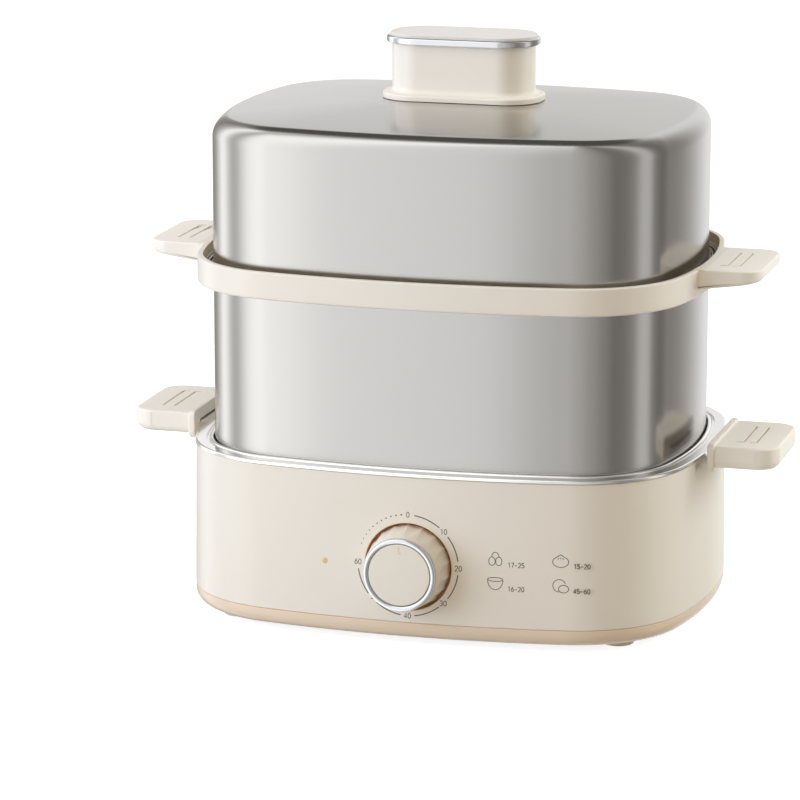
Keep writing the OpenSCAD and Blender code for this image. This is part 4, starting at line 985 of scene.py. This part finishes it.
def panShell():
    # The profile runs from the floor up the inside, over the bead, groove and flange, and back below
    p = pan
    f, wall, mouth, step, flange = p["floor"], -p["inset"], -p["mouth"], p["step"], p["flange"]
    grooveZ, skirt, tabLow, sheet = p["grooveFloor"], p["skirt"], p["tabLow"], p["sheet"]
    beadAt, beadZ, beadRadius = p["bead"]
    top = [(-24, f + sheet), (wall - 2.8, f + sheet), (wall - 1.4, f + 1.1), (wall - 0.5, f + 1.9),
           (wall, f + 3.4), (wall, step - 1.2), (wall + 0.3, step - 0.4), (wall + 1, step),
           (mouth - 0.7, step), (mouth - 0.2, step + 0.2), (mouth, step + 0.7), (mouth, beadZ + 0.1)]
    t = np.linspace(math.pi, 0, 9)
    bead = np.stack([beadAt + beadRadius * np.cos(t), beadZ + beadRadius * np.sin(t)], -1)
    dip = [(-6.3, grooveZ + 0.4), (-6.2, grooveZ + 0.1), (-6.0, grooveZ), (-5.3, grooveZ),
           (-5.1, grooveZ + 0.1), (-5.0, grooveZ + 0.4), (-4.95, flange - 0.4), (-4.75, flange - 0.1),
           (-4.4, flange)]
    edge = [(-0.5, flange)]
    roll = [(-0.1, flange - 0.08), (0.25, flange - 0.3), (0.45, flange - 0.6), (0.5, flange - 0.9),
            (0.5, flange - 1.5), (-0.2, flange - 1.5)]
    under = [(-0.3, tabLow), (-4.4, tabLow), (-4.7, skirt), (-7.6, skirt), (-7.6, step + 0.4),
             (-8.4, step - sheet), (wall + 1.3, step - sheet), (wall + sheet, step - 1.4),
             (wall + sheet, f + 3.2), (wall - 0.1, f + 1), (wall - 2.4, f), (-24, f)]
    profile = np.array(top + bead.tolist() + dip + edge + roll + under)
    half = p["tabHalf"]
    edgeY = row((-shape["turnY"], -half, 8), (-half, half, 10), (half, shape["turnY"], 8))
    endY = np.insert(edgeY, [8, 19], [-half, half])
    flags = (np.arange(len(endY)) >= 9) & (np.arange(len(endY)) <= 19)
    c = columnsRound(endY, flags=flags)
    points = ring(c, profile[:, 0], profile[:, 1])
    first = len(top) + len(bead) + len(dip) + len(edge)
    far = p["tabReach"]
    tab = np.array([[far - 0.3, flange], [far - 0.1, flange - 0.05], [far, flange - 0.2],
                    [far, tabLow + 0.2], [far - 0.1, tabLow + 0.05], [far - 0.3, tabLow]])
    rows = slice(first, first + len(roll))
    points[c["flag"], rows, 0] = c["side"][c["flag"], None] * tab[None, :, 0]
    points[c["flag"], rows, 1] = points[c["flag"], first - 1, 1][:, None]
    points[c["flag"], rows, 2] = tab[None, :, 1]
    parts = [(points, gridFaces(points.shape[:2], (True, False)))]
    for k, z in ((0, f + sheet), (-1, f)):
        rows = crownRows(points[:, k, :2], [1, 0.75, 0.5, 0.25, 0], [z] * 5)
        parts.append((rows, gridFaces(rows.shape[:2], (True, False))))
    return parts


piece("pan", "pan_set", panShell(), finishes["polished"], ["pan"])
print("pan made")


# Grips: a plan with round tip corners, softened above and below, with two hooked grooves on top

panGrip = {
    "reach": 156.2, "half": 28.0, "corner": 10.0, "top": 86.2, "low": (75.5, 75.5), "lowFrom": 124.0,
    "topSoft": 1.2, "lowSoft": (4.0, 4.0), "root": 126.5, "grooves": (138.4, 144.3),
}
bandGrip = {
    "reach": 147.0, "half": 29.0, "corner": 10.0, "top": 168.7, "low": (158.7, 163.2), "lowFrom": 114.0,
    "topSoft": 0.8, "lowSoft": (1.5, 2.6), "root": 123.5, "grooves": (129.3, 135.0),
    # From start outwards the band has the grips' paler cream, which paints more light on them
    "start": 121.8,  # from here outwards the band has the grips' finish
}
groove = {
    "half": 0.44, "soft": 0.3, "depth": 0.75, "back": 15.8, "front": -13.9, "hook": (-2.7, -2.1),
    # Faces deeper than this share take the darker colour that paints the groove's shade
    "edge": 0.3,  # share of the depth from which a face has the groove's finish
}


def grooveDepth(x, y, places):
    # How deep the hooked grooves are at a point: full within the half width of the line, which runs back
    # to front, then bends towards the body, and falling off smoothly over the soft edge.
    depth = np.zeros(np.broadcast(x, y).shape)
    t = np.linspace(0, math.pi / 2, 5)
    hx, hy = groove["hook"]
    for place in places:
        bendX = place + hx + 1.0 - (hx + 1.0) * np.cos(t)
        bend = np.stack([bendX, groove["front"] + (hy + 0.4) * np.sin(t)], -1)
        line = np.concatenate([[[place, groove["back"]]], bend, [[place + hx, groove["front"] + hy]]])
        near = np.full(depth.shape, 1e9)
        for a, b in zip(line[:-1], line[1:]):
            d = b - a
            s = np.clip(((x - a[0]) * d[0] + (y - a[1]) * d[1]) / (d @ d), 0, 1)
            near = np.minimum(near, np.hypot(x - a[0] - s * d[0], y - a[1] - s * d[1]))
        s = np.clip((groove["half"] + groove["soft"] / 2 - near) / groove["soft"], 0, 1)
        depth = np.maximum(depth, groove["depth"] * s * s * (3 - 2 * s))
    return depth


def inGrooves(g):
    # Test of the faces inside the grooves, which take a darker colour that paints their shade; a left grip
    # is a right one turned half round
    def test(middles):
        side = np.sign(middles[:, 0])
        deep = grooveDepth(middles[:, 0] * side, middles[:, 1] * side, g["grooves"])
        return (deep > groove["edge"] * groove["depth"]) & (middles[:, 2] > g["top"] - 1.2)

    return test


def gripLines(g):
    # Places of the grid lines across (y) and out along the grip (x), close at grooves and soft edges
    h, r = g["half"], g["corner"]
    t = np.linspace(0, math.pi / 2, 12)[1:-1]
    side = (h - r) + r * np.sin(t)
    fine = h - np.array([0.8, 0.35, 0.1])
    outer = np.unique(np.concatenate([side, fine, [h - r, h]]))
    # Fine where the grooves bend and where they end, coarse along their straight part
    inner = row((-18.0, -12.4, 22), (-12.4, 14.6, 14), (14.6, 17.0, 8))
    y = np.unique(np.round(np.concatenate([-outer[::-1], inner, outer]), 4))
    x = [[g["root"]]]
    for place in g["grooves"]:
        x.append(np.arange(place - 3.8, place + 1.3, 0.2))
    x = np.unique(np.round(np.concatenate(x), 3))
    keep = np.insert(np.diff(x) > 0.05, 0, True)
    return y, x[keep]


def gripSurface(g, y, fixedX, rootX):
    # Upper and lower surface of a grip over its plan. d is the distance in from the plan's edge; a soft
    # edge of radius r lowers the top by r - sqrt(r^2 - (r - d)^2), and raises the underside by the same
    # rule.
    h, r, reach = g["half"], g["corner"], g["reach"]
    tipStart = fixedX[-1] + 0.8
    reachAt = reach - r + np.sqrt(np.maximum(r * r - np.maximum(np.abs(y) - (h - r), 0) ** 2, 0))
    nearTip = 1 - np.array([0.3, 0.16, 0.09, 0.045, 0.02, 0.006])
    w = np.unique(np.concatenate([np.linspace(0, 1, 10), nearTip]))
    tip = tipStart + (reachAt[:, None] - tipStart) * w[None]
    x = np.concatenate([rootX[:, None], np.tile(fixedX, (len(y), 1)), tip], 1)
    qx, qy = x - (reach - r), np.abs(y)[:, None] - (h - r)
    d = r - (np.hypot(np.maximum(qx, 0), np.maximum(qy, 0)) + np.minimum(np.maximum(qx, qy), 0))
    d = np.maximum(d, 0)
    d[:, -1] = 0

    def soften(radius):
        return radius - np.sqrt(np.maximum(radius**2 - (radius - np.minimum(d, radius)) ** 2, 0))

    share = np.clip((x - g["lowFrom"]) / (reach - g["lowFrom"]), 0, 1)
    soft = g["lowSoft"][0] + (g["lowSoft"][1] - g["lowSoft"][0]) * np.clip((x - reach + 10) / 10, 0, 1)
    top = g["top"] - soften(g["topSoft"]) - grooveDepth(x, y[:, None], g["grooves"])
    low = g["low"][0] + (g["low"][1] - g["low"][0]) * share + soften(soft)
    return x, top, low


# The band round the sleeve, moulded in one with its two handles

band = {"low": 155.9, "high": 168.7, "out": -1.35, "in": -4.1, "seat": 163.2, "step": 158.0, "wallIn": -8.7}


def sleeveBand():
    b, g = band, bandGrip
    y, fixedX = gripLines(g)
    fixedX = np.concatenate([[g["root"] - 2, g["root"] - 1], fixedX])
    edgeIn = row((-shape["turnY"], -g["half"], 6))
    endY = np.concatenate([edgeIn, y, -edgeIn[::-1]])
    flags = np.concatenate([np.zeros(len(edgeIn)), np.ones(len(y)), np.zeros(len(edgeIn))])
    c = columnsRound(endY, flags=flags, at=b["out"])
    wallX = shape["endRadius"] + b["out"]
    rootX = -shape["bowX"] + np.sqrt(wallX**2 - y**2)
    gx, gTop, gLow = gripSurface(g, y, fixedX, rootX)
    soft = g["topSoft"]
    lowSide = g["low"][0] + g["lowSoft"][0] + 0.2
    t = np.linspace(0, math.pi / 2, 6)
    lowEdge = np.stack([b["out"] - 1.2 + 1.2 * np.sin(t), b["low"] + 1.2 - 1.2 * np.cos(t)], -1)
    arc = np.stack([b["out"] - soft + soft * np.cos(t), b["high"] - soft + soft * np.sin(t)], -1)
    wall, high, wallIn = b["in"], b["high"], b["wallIn"]
    inner = np.array([[wall + 0.4, high], [wall + 0.12, high - 0.12], [wall, high - 0.4],
                      [wall, b["seat"] + 0.3], [wall - 0.4, b["seat"] + 0.2], [wall - 0.4, b["step"] - 0.2],
                      [wallIn, b["step"] - 1.2], [wallIn, b["low"]]])
    k = gx.shape[1]
    offset = np.concatenate([lowEdge[:, 0], np.full(2 * k, b["out"]), arc[:, 0], inner[:, 0]])
    sideZ = np.repeat([lowSide, arc[0, 1]], k)
    height = np.concatenate([lowEdge[:, 1], sideZ, arc[:, 1], inner[:, 1]])
    points = ring(c, offset, height)
    start = len(lowEdge)
    for side in (1, -1):
        rows = c["flag"] & (c["side"] == side)
        # The left grip is the right one turned half round, so its columns run through the same y
        points[rows, start:start + k, 0] = side * gx
        points[rows, start:start + k, 2] = gLow
        points[rows, start + k:start + 2 * k, 0] = side * gx[:, ::-1]
        points[rows, start + k:start + 2 * k, 2] = gTop[:, ::-1]
        arcRows = slice(start + 2 * k, start + 2 * k + len(arc))
        points[rows, arcRows, 2] = np.maximum(arc[None, :, 1], gTop[:, :1])
    return [(points, gridFaces(points.shape[:2]))]


# The band's grips, which take the paler cream that paints more light on them
def isGrip(middles):
    return np.abs(middles[:, 0]) > bandGrip["start"]


def bandInsidePaintedBounce(middles):
    # The wall inside the band above the sleeve's rim, which takes a paler, warmer cream that paints the warm
    # light bounced into that shaded place
    near = ring(columnsRound(), [band["in"] - 0.5], [0.0])[:, 0, :2]
    turn, far = np.arctan2(near[:, 1], near[:, 0]), np.hypot(near[:, 0], near[:, 1])
    order = np.argsort(turn)
    reach = np.interp(np.arctan2(middles[:, 1], middles[:, 0]), turn[order], far[order], period=2 * math.pi)
    return (np.hypot(middles[:, 0], middles[:, 1]) < reach + 0.65) & (middles[:, 2] > band["seat"] - 0.5)


# The band's cream is made a little paler than the base's to paint light on it; its grips, inner wall and
# grooves take further painted tones
piece("sleeveBand", "sleeve_set", sleeveBand(), finishes["bandCreamPaintedLight"], ["sleeve_band"],
      inner=[(finishes["creamPaintedLight"], isGrip), (finishes["creamPaintedBounce"], bandInsidePaintedBounce),
             (finishes["groovePaintedShade"], inGrooves(bandGrip))])
print("band and its handles made")


# Pan handles: an upright plate against the base, with the slot that the pan's tab enters, and a grip

plate = {"inner": 124.0, "outer": 127.3, "low": 74.0, "high": 87.3, "half": 29.5, "corner": 3.0, "soft": 0.7,
         "slotLow": 80.0, "slotHigh": 81.8, "slotHalf": 21.0, "slotEnd": 138.6}


def panHandle(side):
    g, p = panGrip, plate
    y, fixedX = gripLines(g)
    x, top, low = gripSurface(g, y, fixedX[fixedX > p["outer"]], np.full(len(y), g["root"]))
    k = x.shape[1]
    yy = np.repeat(y[:, None], 2 * k, 1)
    path = np.stack([np.concatenate([x, x[:, ::-1]], 1), yy, np.concatenate([low, top[:, ::-1]], 1)], -1)
    parts = [(path, gridFaces(path.shape[:2], (False, True)))]
    for column in (0, -1):
        strip = np.stack([path[column, :k], path[column, k:][::-1]])
        parts.append((strip, gridFaces(strip.shape[:2], (False, False))))
    middle = (p["low"] + p["high"]) / 2
    t = np.linspace(0, math.pi / 2, 5)
    inset = p["soft"] * (1 - np.sin(t))
    faceIn = p["inner"] + p["soft"] * (1 - np.cos(t))
    loops, heights = [], []
    steps = dict(cornerSteps=6, sideSteps=6)
    slot = roundRect(2 * p["slotHalf"], p["slotHigh"] - p["slotLow"], 0.3, **steps)
    slot = slot + [0, (p["slotLow"] + p["slotHigh"]) / 2 - middle]
    loops += [slot, slot]
    heights += [p["slotEnd"], p["inner"]]

    def outline(e):
        return roundRect(2 * (p["half"] - e), p["high"] - p["low"] - 2 * e, p["corner"] - e, **steps)

    loops += [outline(e) for e in inset]
    heights += list(faceIn)
    loops += [outline(e) for e in inset[::-1]]
    heights += list(p["outer"] - p["soft"] * (1 - np.cos(t[::-1])))
    points, faces = stack(loops, heights, first="flat", last="flat")
    parts.append(placed((points, faces), (0, 0, middle), (0, 1, 0), (0, 0, 1)))
    return [(turnHalf(points.reshape(-1, 3), side), faces) for points, faces in parts]


def turnHalf(points, side):
    # The left handle is the right one turned half round the upright axis
    return points * [side, side, 1]


# The pan handles take the paler cream that paints more light on them
for name, side in (("Right", 1), ("Left", -1)):
    piece("panHandle" + name, "pan_set", panHandle(side), finishes["creamPaintedLight"],
          ["pan_handle_" + name.lower()], inner=[(finishes["groovePaintedShade"], inGrooves(panGrip))])
print("pan handles made")


# Sleeve: a straight steel wall with a turned-in foot and the stepped seat for the tray and lid

sleeve = {"low": 73.6, "wall": -8.9, "sheet": 0.7, "seat": 158.0, "seatTop": 163.2}


def sleeveProfile(s):
    w, t, seat, top = s["wall"], s["sheet"], s["seat"], s["seatTop"]
    corners = [
        (w - 2.6, s["low"], 0.3), (w, s["low"], 2.2), (w, seat, 0.5), (-4.7, seat, 0.6), (-4.7, top, 0.55),
        (-5.9, top, 0.55), (-5.9, top - 1.3, 0.1), (-5.4, top - 1.3, 0.1), (-5.4, seat + 0.7, 0.3),
        (w - t, seat + 0.7, 1.0), (w - t, s["low"] + 0.7, 1.5), (w - 2.6, s["low"] + 0.7, 0.3),
    ]
    return rounded(corners, 5)


piece("sleeve", "sleeve_set", [swept(columnsRound(), sleeveProfile(sleeve))], finishes["steel"],
      ["sleeve"])
print("sleeve made")


# Lid: a wall, a rounded turn, then the outline shrunk towards a low crown

lid = {"low": 160.2, "wall": -8.9, "turn": 223.9, "edge": 9.8, "slope": 12.0, "crown": 239.2, "sheet": 0.7,
       "turnSteps": 16}


def lidRows(c, thick):
    # Rows of the lid's surface: the wall, an arc of the edge radius up to the crown's slope, then copies
    # of the arc's last ring scaled by k, whose height above it is the rise times 1 - k^2.
    radius = lid["edge"] - thick
    middle = lid["wall"] - lid["edge"]
    slope = math.radians(lid["slope"])
    t = np.linspace(0, math.pi / 2 - slope, lid["turnSteps"])
    wallZ = np.array([lid["low"] + 0.35, lid["low"] + 1.5, lid["turn"] - 1.5])
    offset = np.concatenate([np.full(len(wallZ), middle + radius), middle + radius * np.cos(t)])
    height = np.concatenate([wallZ, lid["turn"] + radius * np.sin(t)])
    wall = ring(c, offset, height)
    edgeZ = height[-1]
    shares = 1 - np.linspace(0, 1, 22)[1:]
    rise = lid["crown"] - thick - edgeZ
    crown = crownRows(wall[:, -1, :2], shares, edgeZ + rise * (1 - shares**2))
    return np.concatenate([wall, crown], 1)


def lidShell():
    c = columnsRound()
    outer, inner = lidRows(c, 0.0), lidRows(c, lid["sheet"])
    middle = lid["wall"] - lid["sheet"] / 2
    hem = ring(c, middle + np.array([-0.28, -0.12, 0.12, 0.28]), lid["low"] + np.array([0.12, 0, 0, 0.12]))
    grid = np.concatenate([hem, outer, inner[:, ::-1]], 1)
    keep = np.ones((grid.shape[0], grid.shape[1]), bool)
    keep[:, hem.shape[1] + outer.shape[1] - 1] = False
    return [(grid, gridFaces(grid.shape[:2], keep=keep))]


piece("lidShell", "lid_set", lidShell(), finishes["steel"], ["lid_shell"])

# The last ring of the turn, where the crown begins: three rows of the wall come before the turn's
domeEdge = lidRows(columnsRound(), 0.0)[:, 3 + lid["turnSteps"] - 1]
domeTurn = np.arctan2(domeEdge[:, 1], domeEdge[:, 0])
domeOrder = np.argsort(domeTurn)


def domeHeight(x, y):
    # Height of the crown over a point: its share k of the way out to the crown's edge sets it
    edge = np.hypot(domeEdge[:, 0], domeEdge[:, 1])[domeOrder]
    k = np.hypot(x, y) / np.interp(np.arctan2(y, x), domeTurn[domeOrder], edge, period=2 * math.pi)
    edgeZ = domeEdge[0, 2]
    return edgeZ + (lid["crown"] - edgeZ) * (1 - k * k)


# The lid's handle: a pillar with a flared foot that sits on the crown, a bright band and a cap

lidHandle = {
    "width": 67.4, "depth": 32.6, "corner": 15.0, "wall": 3.0, "neck": 264.7, "hollowLow": 253.2,
    "foot": (8.6, 8.4, 3.5),  # how much wider, deeper and rounder the foot is
    "footTop": 241.6, "footSoft": 0.9, "fillet": 2.4, "gap": 0.16,
    "band": (5.0, 4.6, 17.5), "bandHigh": 268.0, "cap": (1.6, 1.2, 16.0), "capSoft": 0.4, "top": 269.3,
}


def lidPillar():
    # The pillar stands on a slab that follows the crown underneath: share 1 is the slab's plan and share
    # 0 the pillar's. The slab has a soft upper edge, and a quarter circle leads from its shelf up into
    # the pillar.
    h = lidHandle
    fx, fy, fr = h["foot"]

    def plan(e):
        return roundRect(h["width"] + fx * e, h["depth"] + fy * e, h["corner"] + fr * e, 20, 14)

    widest = plan(1.0)
    ground = domeHeight(widest[:, 0], widest[:, 1]) + h["gap"]
    top, soft, fillet = h["footTop"], h["footSoft"], h["fillet"]
    t = np.linspace(0, math.pi / 2, 7)
    steps = [(0.95, ground), (1.0, ground + 0.2)]
    steps += [(1 - soft * 2 / fx * (1 - math.cos(a)), top - soft * (1 - math.sin(a))) for a in t]
    t = np.linspace(0, math.pi / 2, 9)
    steps += [(fillet * 2 / fx * (1 - math.sin(a)), top + fillet * (1 - math.cos(a))) for a in t]
    steps += [(0, h["neck"] - 2), (0, h["neck"])]
    loops, heights = [plan(e) for e, _ in steps], [z for _, z in steps]
    wall = h["wall"]
    inner = roundRect(h["width"] - 2 * wall, h["depth"] - 2 * wall, h["corner"] - wall, 20, 14)
    return [stack(loops + [inner, inner], heights + [h["neck"], h["hollowLow"]], first="flat", last="flat")]


def roundStack(width, depth, corner, steps):
    # Rings of a rounded plan: each step is (how far in from the plan, height)
    loops = [roundRect(width - 2 * e, depth - 2 * e, corner - e, 24, 12) for e, _ in steps]
    return loops, [z for _, z in steps]


def lidBand():
    h = lidHandle
    low, high = h["neck"] + 0.1, h["bandHigh"]
    corners = [(0, low, 0.45), (0, high, 1.25), (1.9, high, 0.2), (2.05, high - 0.5, 0),
               (4.0, high - 0.5, 0), (4.0, low, 0)]
    wider, deeper, corner = h["band"]
    profile = rounded(corners, 8).tolist()
    points, _ = stack(*roundStack(h["width"] + wider, h["depth"] + deeper, corner, profile))
    return [(points, gridFaces(points.shape[:2]))]


def lidCap():
    h = lidHandle
    low, high = h["bandHigh"] - 0.2, h["top"]
    soft = h["capSoft"]
    wider, deeper, corner = h["cap"]
    t = np.linspace(0, math.pi / 2, 5)
    steps = [(6, low), (0, low)] + [(soft * (1 - math.cos(a)), high - soft * (1 - math.sin(a))) for a in t]
    loops, heights = roundStack(h["width"] + wider, h["depth"] + deeper, corner, steps)
    return [stack(loops, heights, first="flat", last="flat")]


# The lid's handle takes the paler cream that paints more light on it
piece("lidHandle", "lid_set", lidPillar(), finishes["creamPaintedLight"], ["lid_handle"])
piece("lidHandleBand", "lid_set", lidBand(), finishes["chrome"], ["lid_handle_band"],
      even=False)
piece("lidHandleCap", "lid_set", lidCap(), finishes["cap"], ["lid_handle_cap"])
print("lid and its handle made")


# Finishes of the nodes that are shown as they were built

nodeFinish = {
    "cream_plastic": "cream", "tan_plastic": "tan", "cap_plastic": "cap", "rubber_foot": "rubber",
    "stainless": "polished", "screw_steel": "screw", "spring_steel": "spring", "blued_steel": "blued",
    "heater_tube": "tube", "aluminium_sheet": "sheet", "aluminium_cast": "cast", "brass": "brass",
    "chrome_trim": "chrome", "black_plastic": "black", "ceramic_white": "ceramic", "amber_lens": "amber",
    "neon_glass": "neon", "wire_brown": "brown", "wire_white": "white", "wire_blue": "blue",
    "wire_green": "green",
}
for part in frame["record"]["subparts"]:
    node = frame["nodes"][part["node"]]
    node.data.materials.clear()
    node.data.materials.append(finishes[nodeFinish[part["material_slot"]]])
print("frame nodes finished")


# Studio: a pale floor, three soft boxes, and surroundings that reflections see as soft upright bands

studio = {
    "floor": (0.55, 0.54, 0.53),
    "floorGlow": (0.84, (0.96, 0.98, 1.0)),  # strength and colour that the camera sees added to the floor
    "floorHalf": 60000.0,
    "ambient": (0.39, 0.295, 0.14),
    # azimuth from the front, distance, width, height, middle height, radiance, colour
    "boxes": [(-50, 1700, 1600, 1500, 560, 3.5, (0.86, 1.01, 1.29)),
              (116, 1500, 500, 1300, 500, 8.6, (0.89, 1.0, 1.13))],
    "top": (1700, 2600, 2600, 1.0, (0.85, 0.97, 1.22)),  # height, width, depth, radiance, colour
    # Brightness that reflections see at each azimuth, in degrees from the front towards the right
    "bands": [(-180, 1.02), (-168, 0.84), (-160, 0.95), (-151, 0.42), (-142, 0.34), (-130, 0.58),
              (-120, 1.05), (-112, 1.72), (-104, 1.65), (-96, 1.08), (-88, 0.74), (-80, 0.80),
              (-72, 1.23), (-64, 1.57), (-56, 1.74), (-46, 1.79), (-36, 1.67), (-28, 1.27),
              (-6, 1.16), (4, 0.74), (16, 0.68), (32, 0.52), (46, 0.39), (58, 0.26), (70, 0.29),
              (80, 0.38), (96, 0.82), (104, 0.79), (114, 0.34), (126, 0.24), (144, 0.35), (176, 1.02)],
    "bandTint": (1.0, 0.93, 0.84),
    # The dark place overhead: azimuth and elevation of its middle, cosines of its edge, brightness
    "dark": (-164, 64, 0.86, 0.94, 0.12),
}


def facing(azimuth, distance, height):
    # Matrix of an upright plane at an azimuth, whose local -Z looks at the middle of the object
    a = math.radians(azimuth)
    out = Vector((math.sin(a), -math.cos(a), 0.0))
    across = Vector((math.cos(a), math.sin(a), 0.0))
    place = (out * distance + Vector((0, 0, height))) * mm
    return Matrix((
        (across.x, 0.0, out.x, place.x),
        (across.y, 0.0, out.y, place.y),
        (0.0, 1.0, 0.0, place.z),
        (0.0, 0.0, 0.0, 1.0),
    ))


def softBox(name, matrix, width, height, radiance, colour):
    # The power that gives a lamp of this size that radiance is pi * area * radiance
    data = bpy.data.lights.new(name, "AREA")
    data.shape = "RECTANGLE"
    data.size, data.size_y = width * mm, height * mm
    data.energy = math.pi * data.size * data.size_y * radiance
    data.color = colour
    made = bpy.data.objects.new(name, data)
    bpy.context.scene.collection.objects.link(made)
    made.matrix_world = matrix
    made.visible_glossy = False


def makeFloor(s):
    half = s["floorHalf"]
    strength, tint = s["floorGlow"]
    corners = np.array([[-1, -1, 0], [1, -1, 0], [1, 1, 0], [-1, 1, 0]]) * half
    ground = addMesh("floor", [(corners, [[0, 1, 2, 3]])], weld=False)
    material, m = startMaterial("floorPaper")
    path = m.node("LightPath", output="Is Camera Ray")
    paper = m.node("BsdfDiffuse", {}, {"Color": (*s["floor"], 1)})
    glow = m.node("Emission", {}, {"Color": (*tint, 1), "Strength": path * strength})
    # A camera below the floor looks through it
    below = m.node("NewGeometry", output="Backfacing")
    seen = m.node("AddShader", {}, {0: paper, 1: glow})
    clear = m.node("BsdfTransparent")
    shader = m.node("MixShader", {}, {0: below, 1: seen, 2: clear})
    ground.data.materials.append(endMaterial(material, shader))
    ground.visible_glossy = False


def makeWorld(s):
    # The camera sees white and diffuse surfaces a warm even light. Reflections see bands that depend on
    # the direction's azimuth, atan2(x, -y), and a dark round place overhead: the closer a direction's dot
    # product with its middle is to 1, the darker.
    world = bpy.data.worlds.new("studio")
    world.use_nodes = True
    world.node_tree.nodes.clear()
    w = Socket(world.node_tree)
    direction = w.node("TexCoord", output="Generated")
    x = w.node("SeparateXYZ", {}, {0: direction})
    y = x.other("Y")
    azimuth = w.maths("ARCTAN2", x, y * -1.0) * (0.5 / math.pi) + 0.5
    stops = [(degrees / 360 + 0.5, bright / 2) for degrees, bright in s["bands"]]
    bands = w.node("ValToRGB", {"stops": stops}, {0: azimuth}) * 2.0
    turn, lift, low, high, dark = s["dark"]
    turn, lift = math.radians(turn), math.radians(lift)
    middle = (math.sin(turn) * math.cos(lift), -math.cos(turn) * math.cos(lift), math.sin(lift))
    near = w.node("VectorMath", {"operation": "DOT_PRODUCT"}, {0: direction, 1: middle}, "Value")
    ends = {"Value": near, "From Min": low, "From Max": high}
    shade = w.node("MapRange", {"interpolation_type": "SMOOTHSTEP"}, ends)
    bright = bands - shade * (bands - dark)
    tint = blendColour(w, bright, s["bandTint"], (1, 1, 1))
    seen = w.node("Background", {}, {"Color": tint, "Strength": bright})
    even = w.node("Background", {}, {"Color": (*s["ambient"], 1)})
    white = w.node("Background", {}, {"Color": (1, 1, 1, 1)})
    path = w.node("LightPath", output="Is Camera Ray")
    plain = path.maths("MINIMUM", path + path.other("Is Transmission Ray"), 1.0)
    light = w.node("MixShader", {}, {0: path.other("Is Glossy Ray"), 1: even, 2: seen})
    light = w.node("MixShader", {}, {0: plain, 1: light, 2: white})
    out = world.node_tree.nodes.new("ShaderNodeOutputWorld")
    world.node_tree.links.new(light.output, out.inputs["Surface"])
    bpy.context.scene.world = world


def makeStudio(s):
    for k, (azimuth, distance, width, height, middle, radiance, colour) in enumerate(s["boxes"]):
        softBox(f"softBox{k}", facing(azimuth, distance, middle), width, height, radiance, colour)
    distance, width, depth, radiance, colour = s["top"]
    softBox("softBoxTop", Matrix.Translation((0, 0, distance * mm)), width, depth, radiance, colour)
    makeFloor(s)
    makeWorld(s)
    bpy.context.scene.view_settings.view_transform = "Standard"


makeStudio(studio)
print("studio lit")
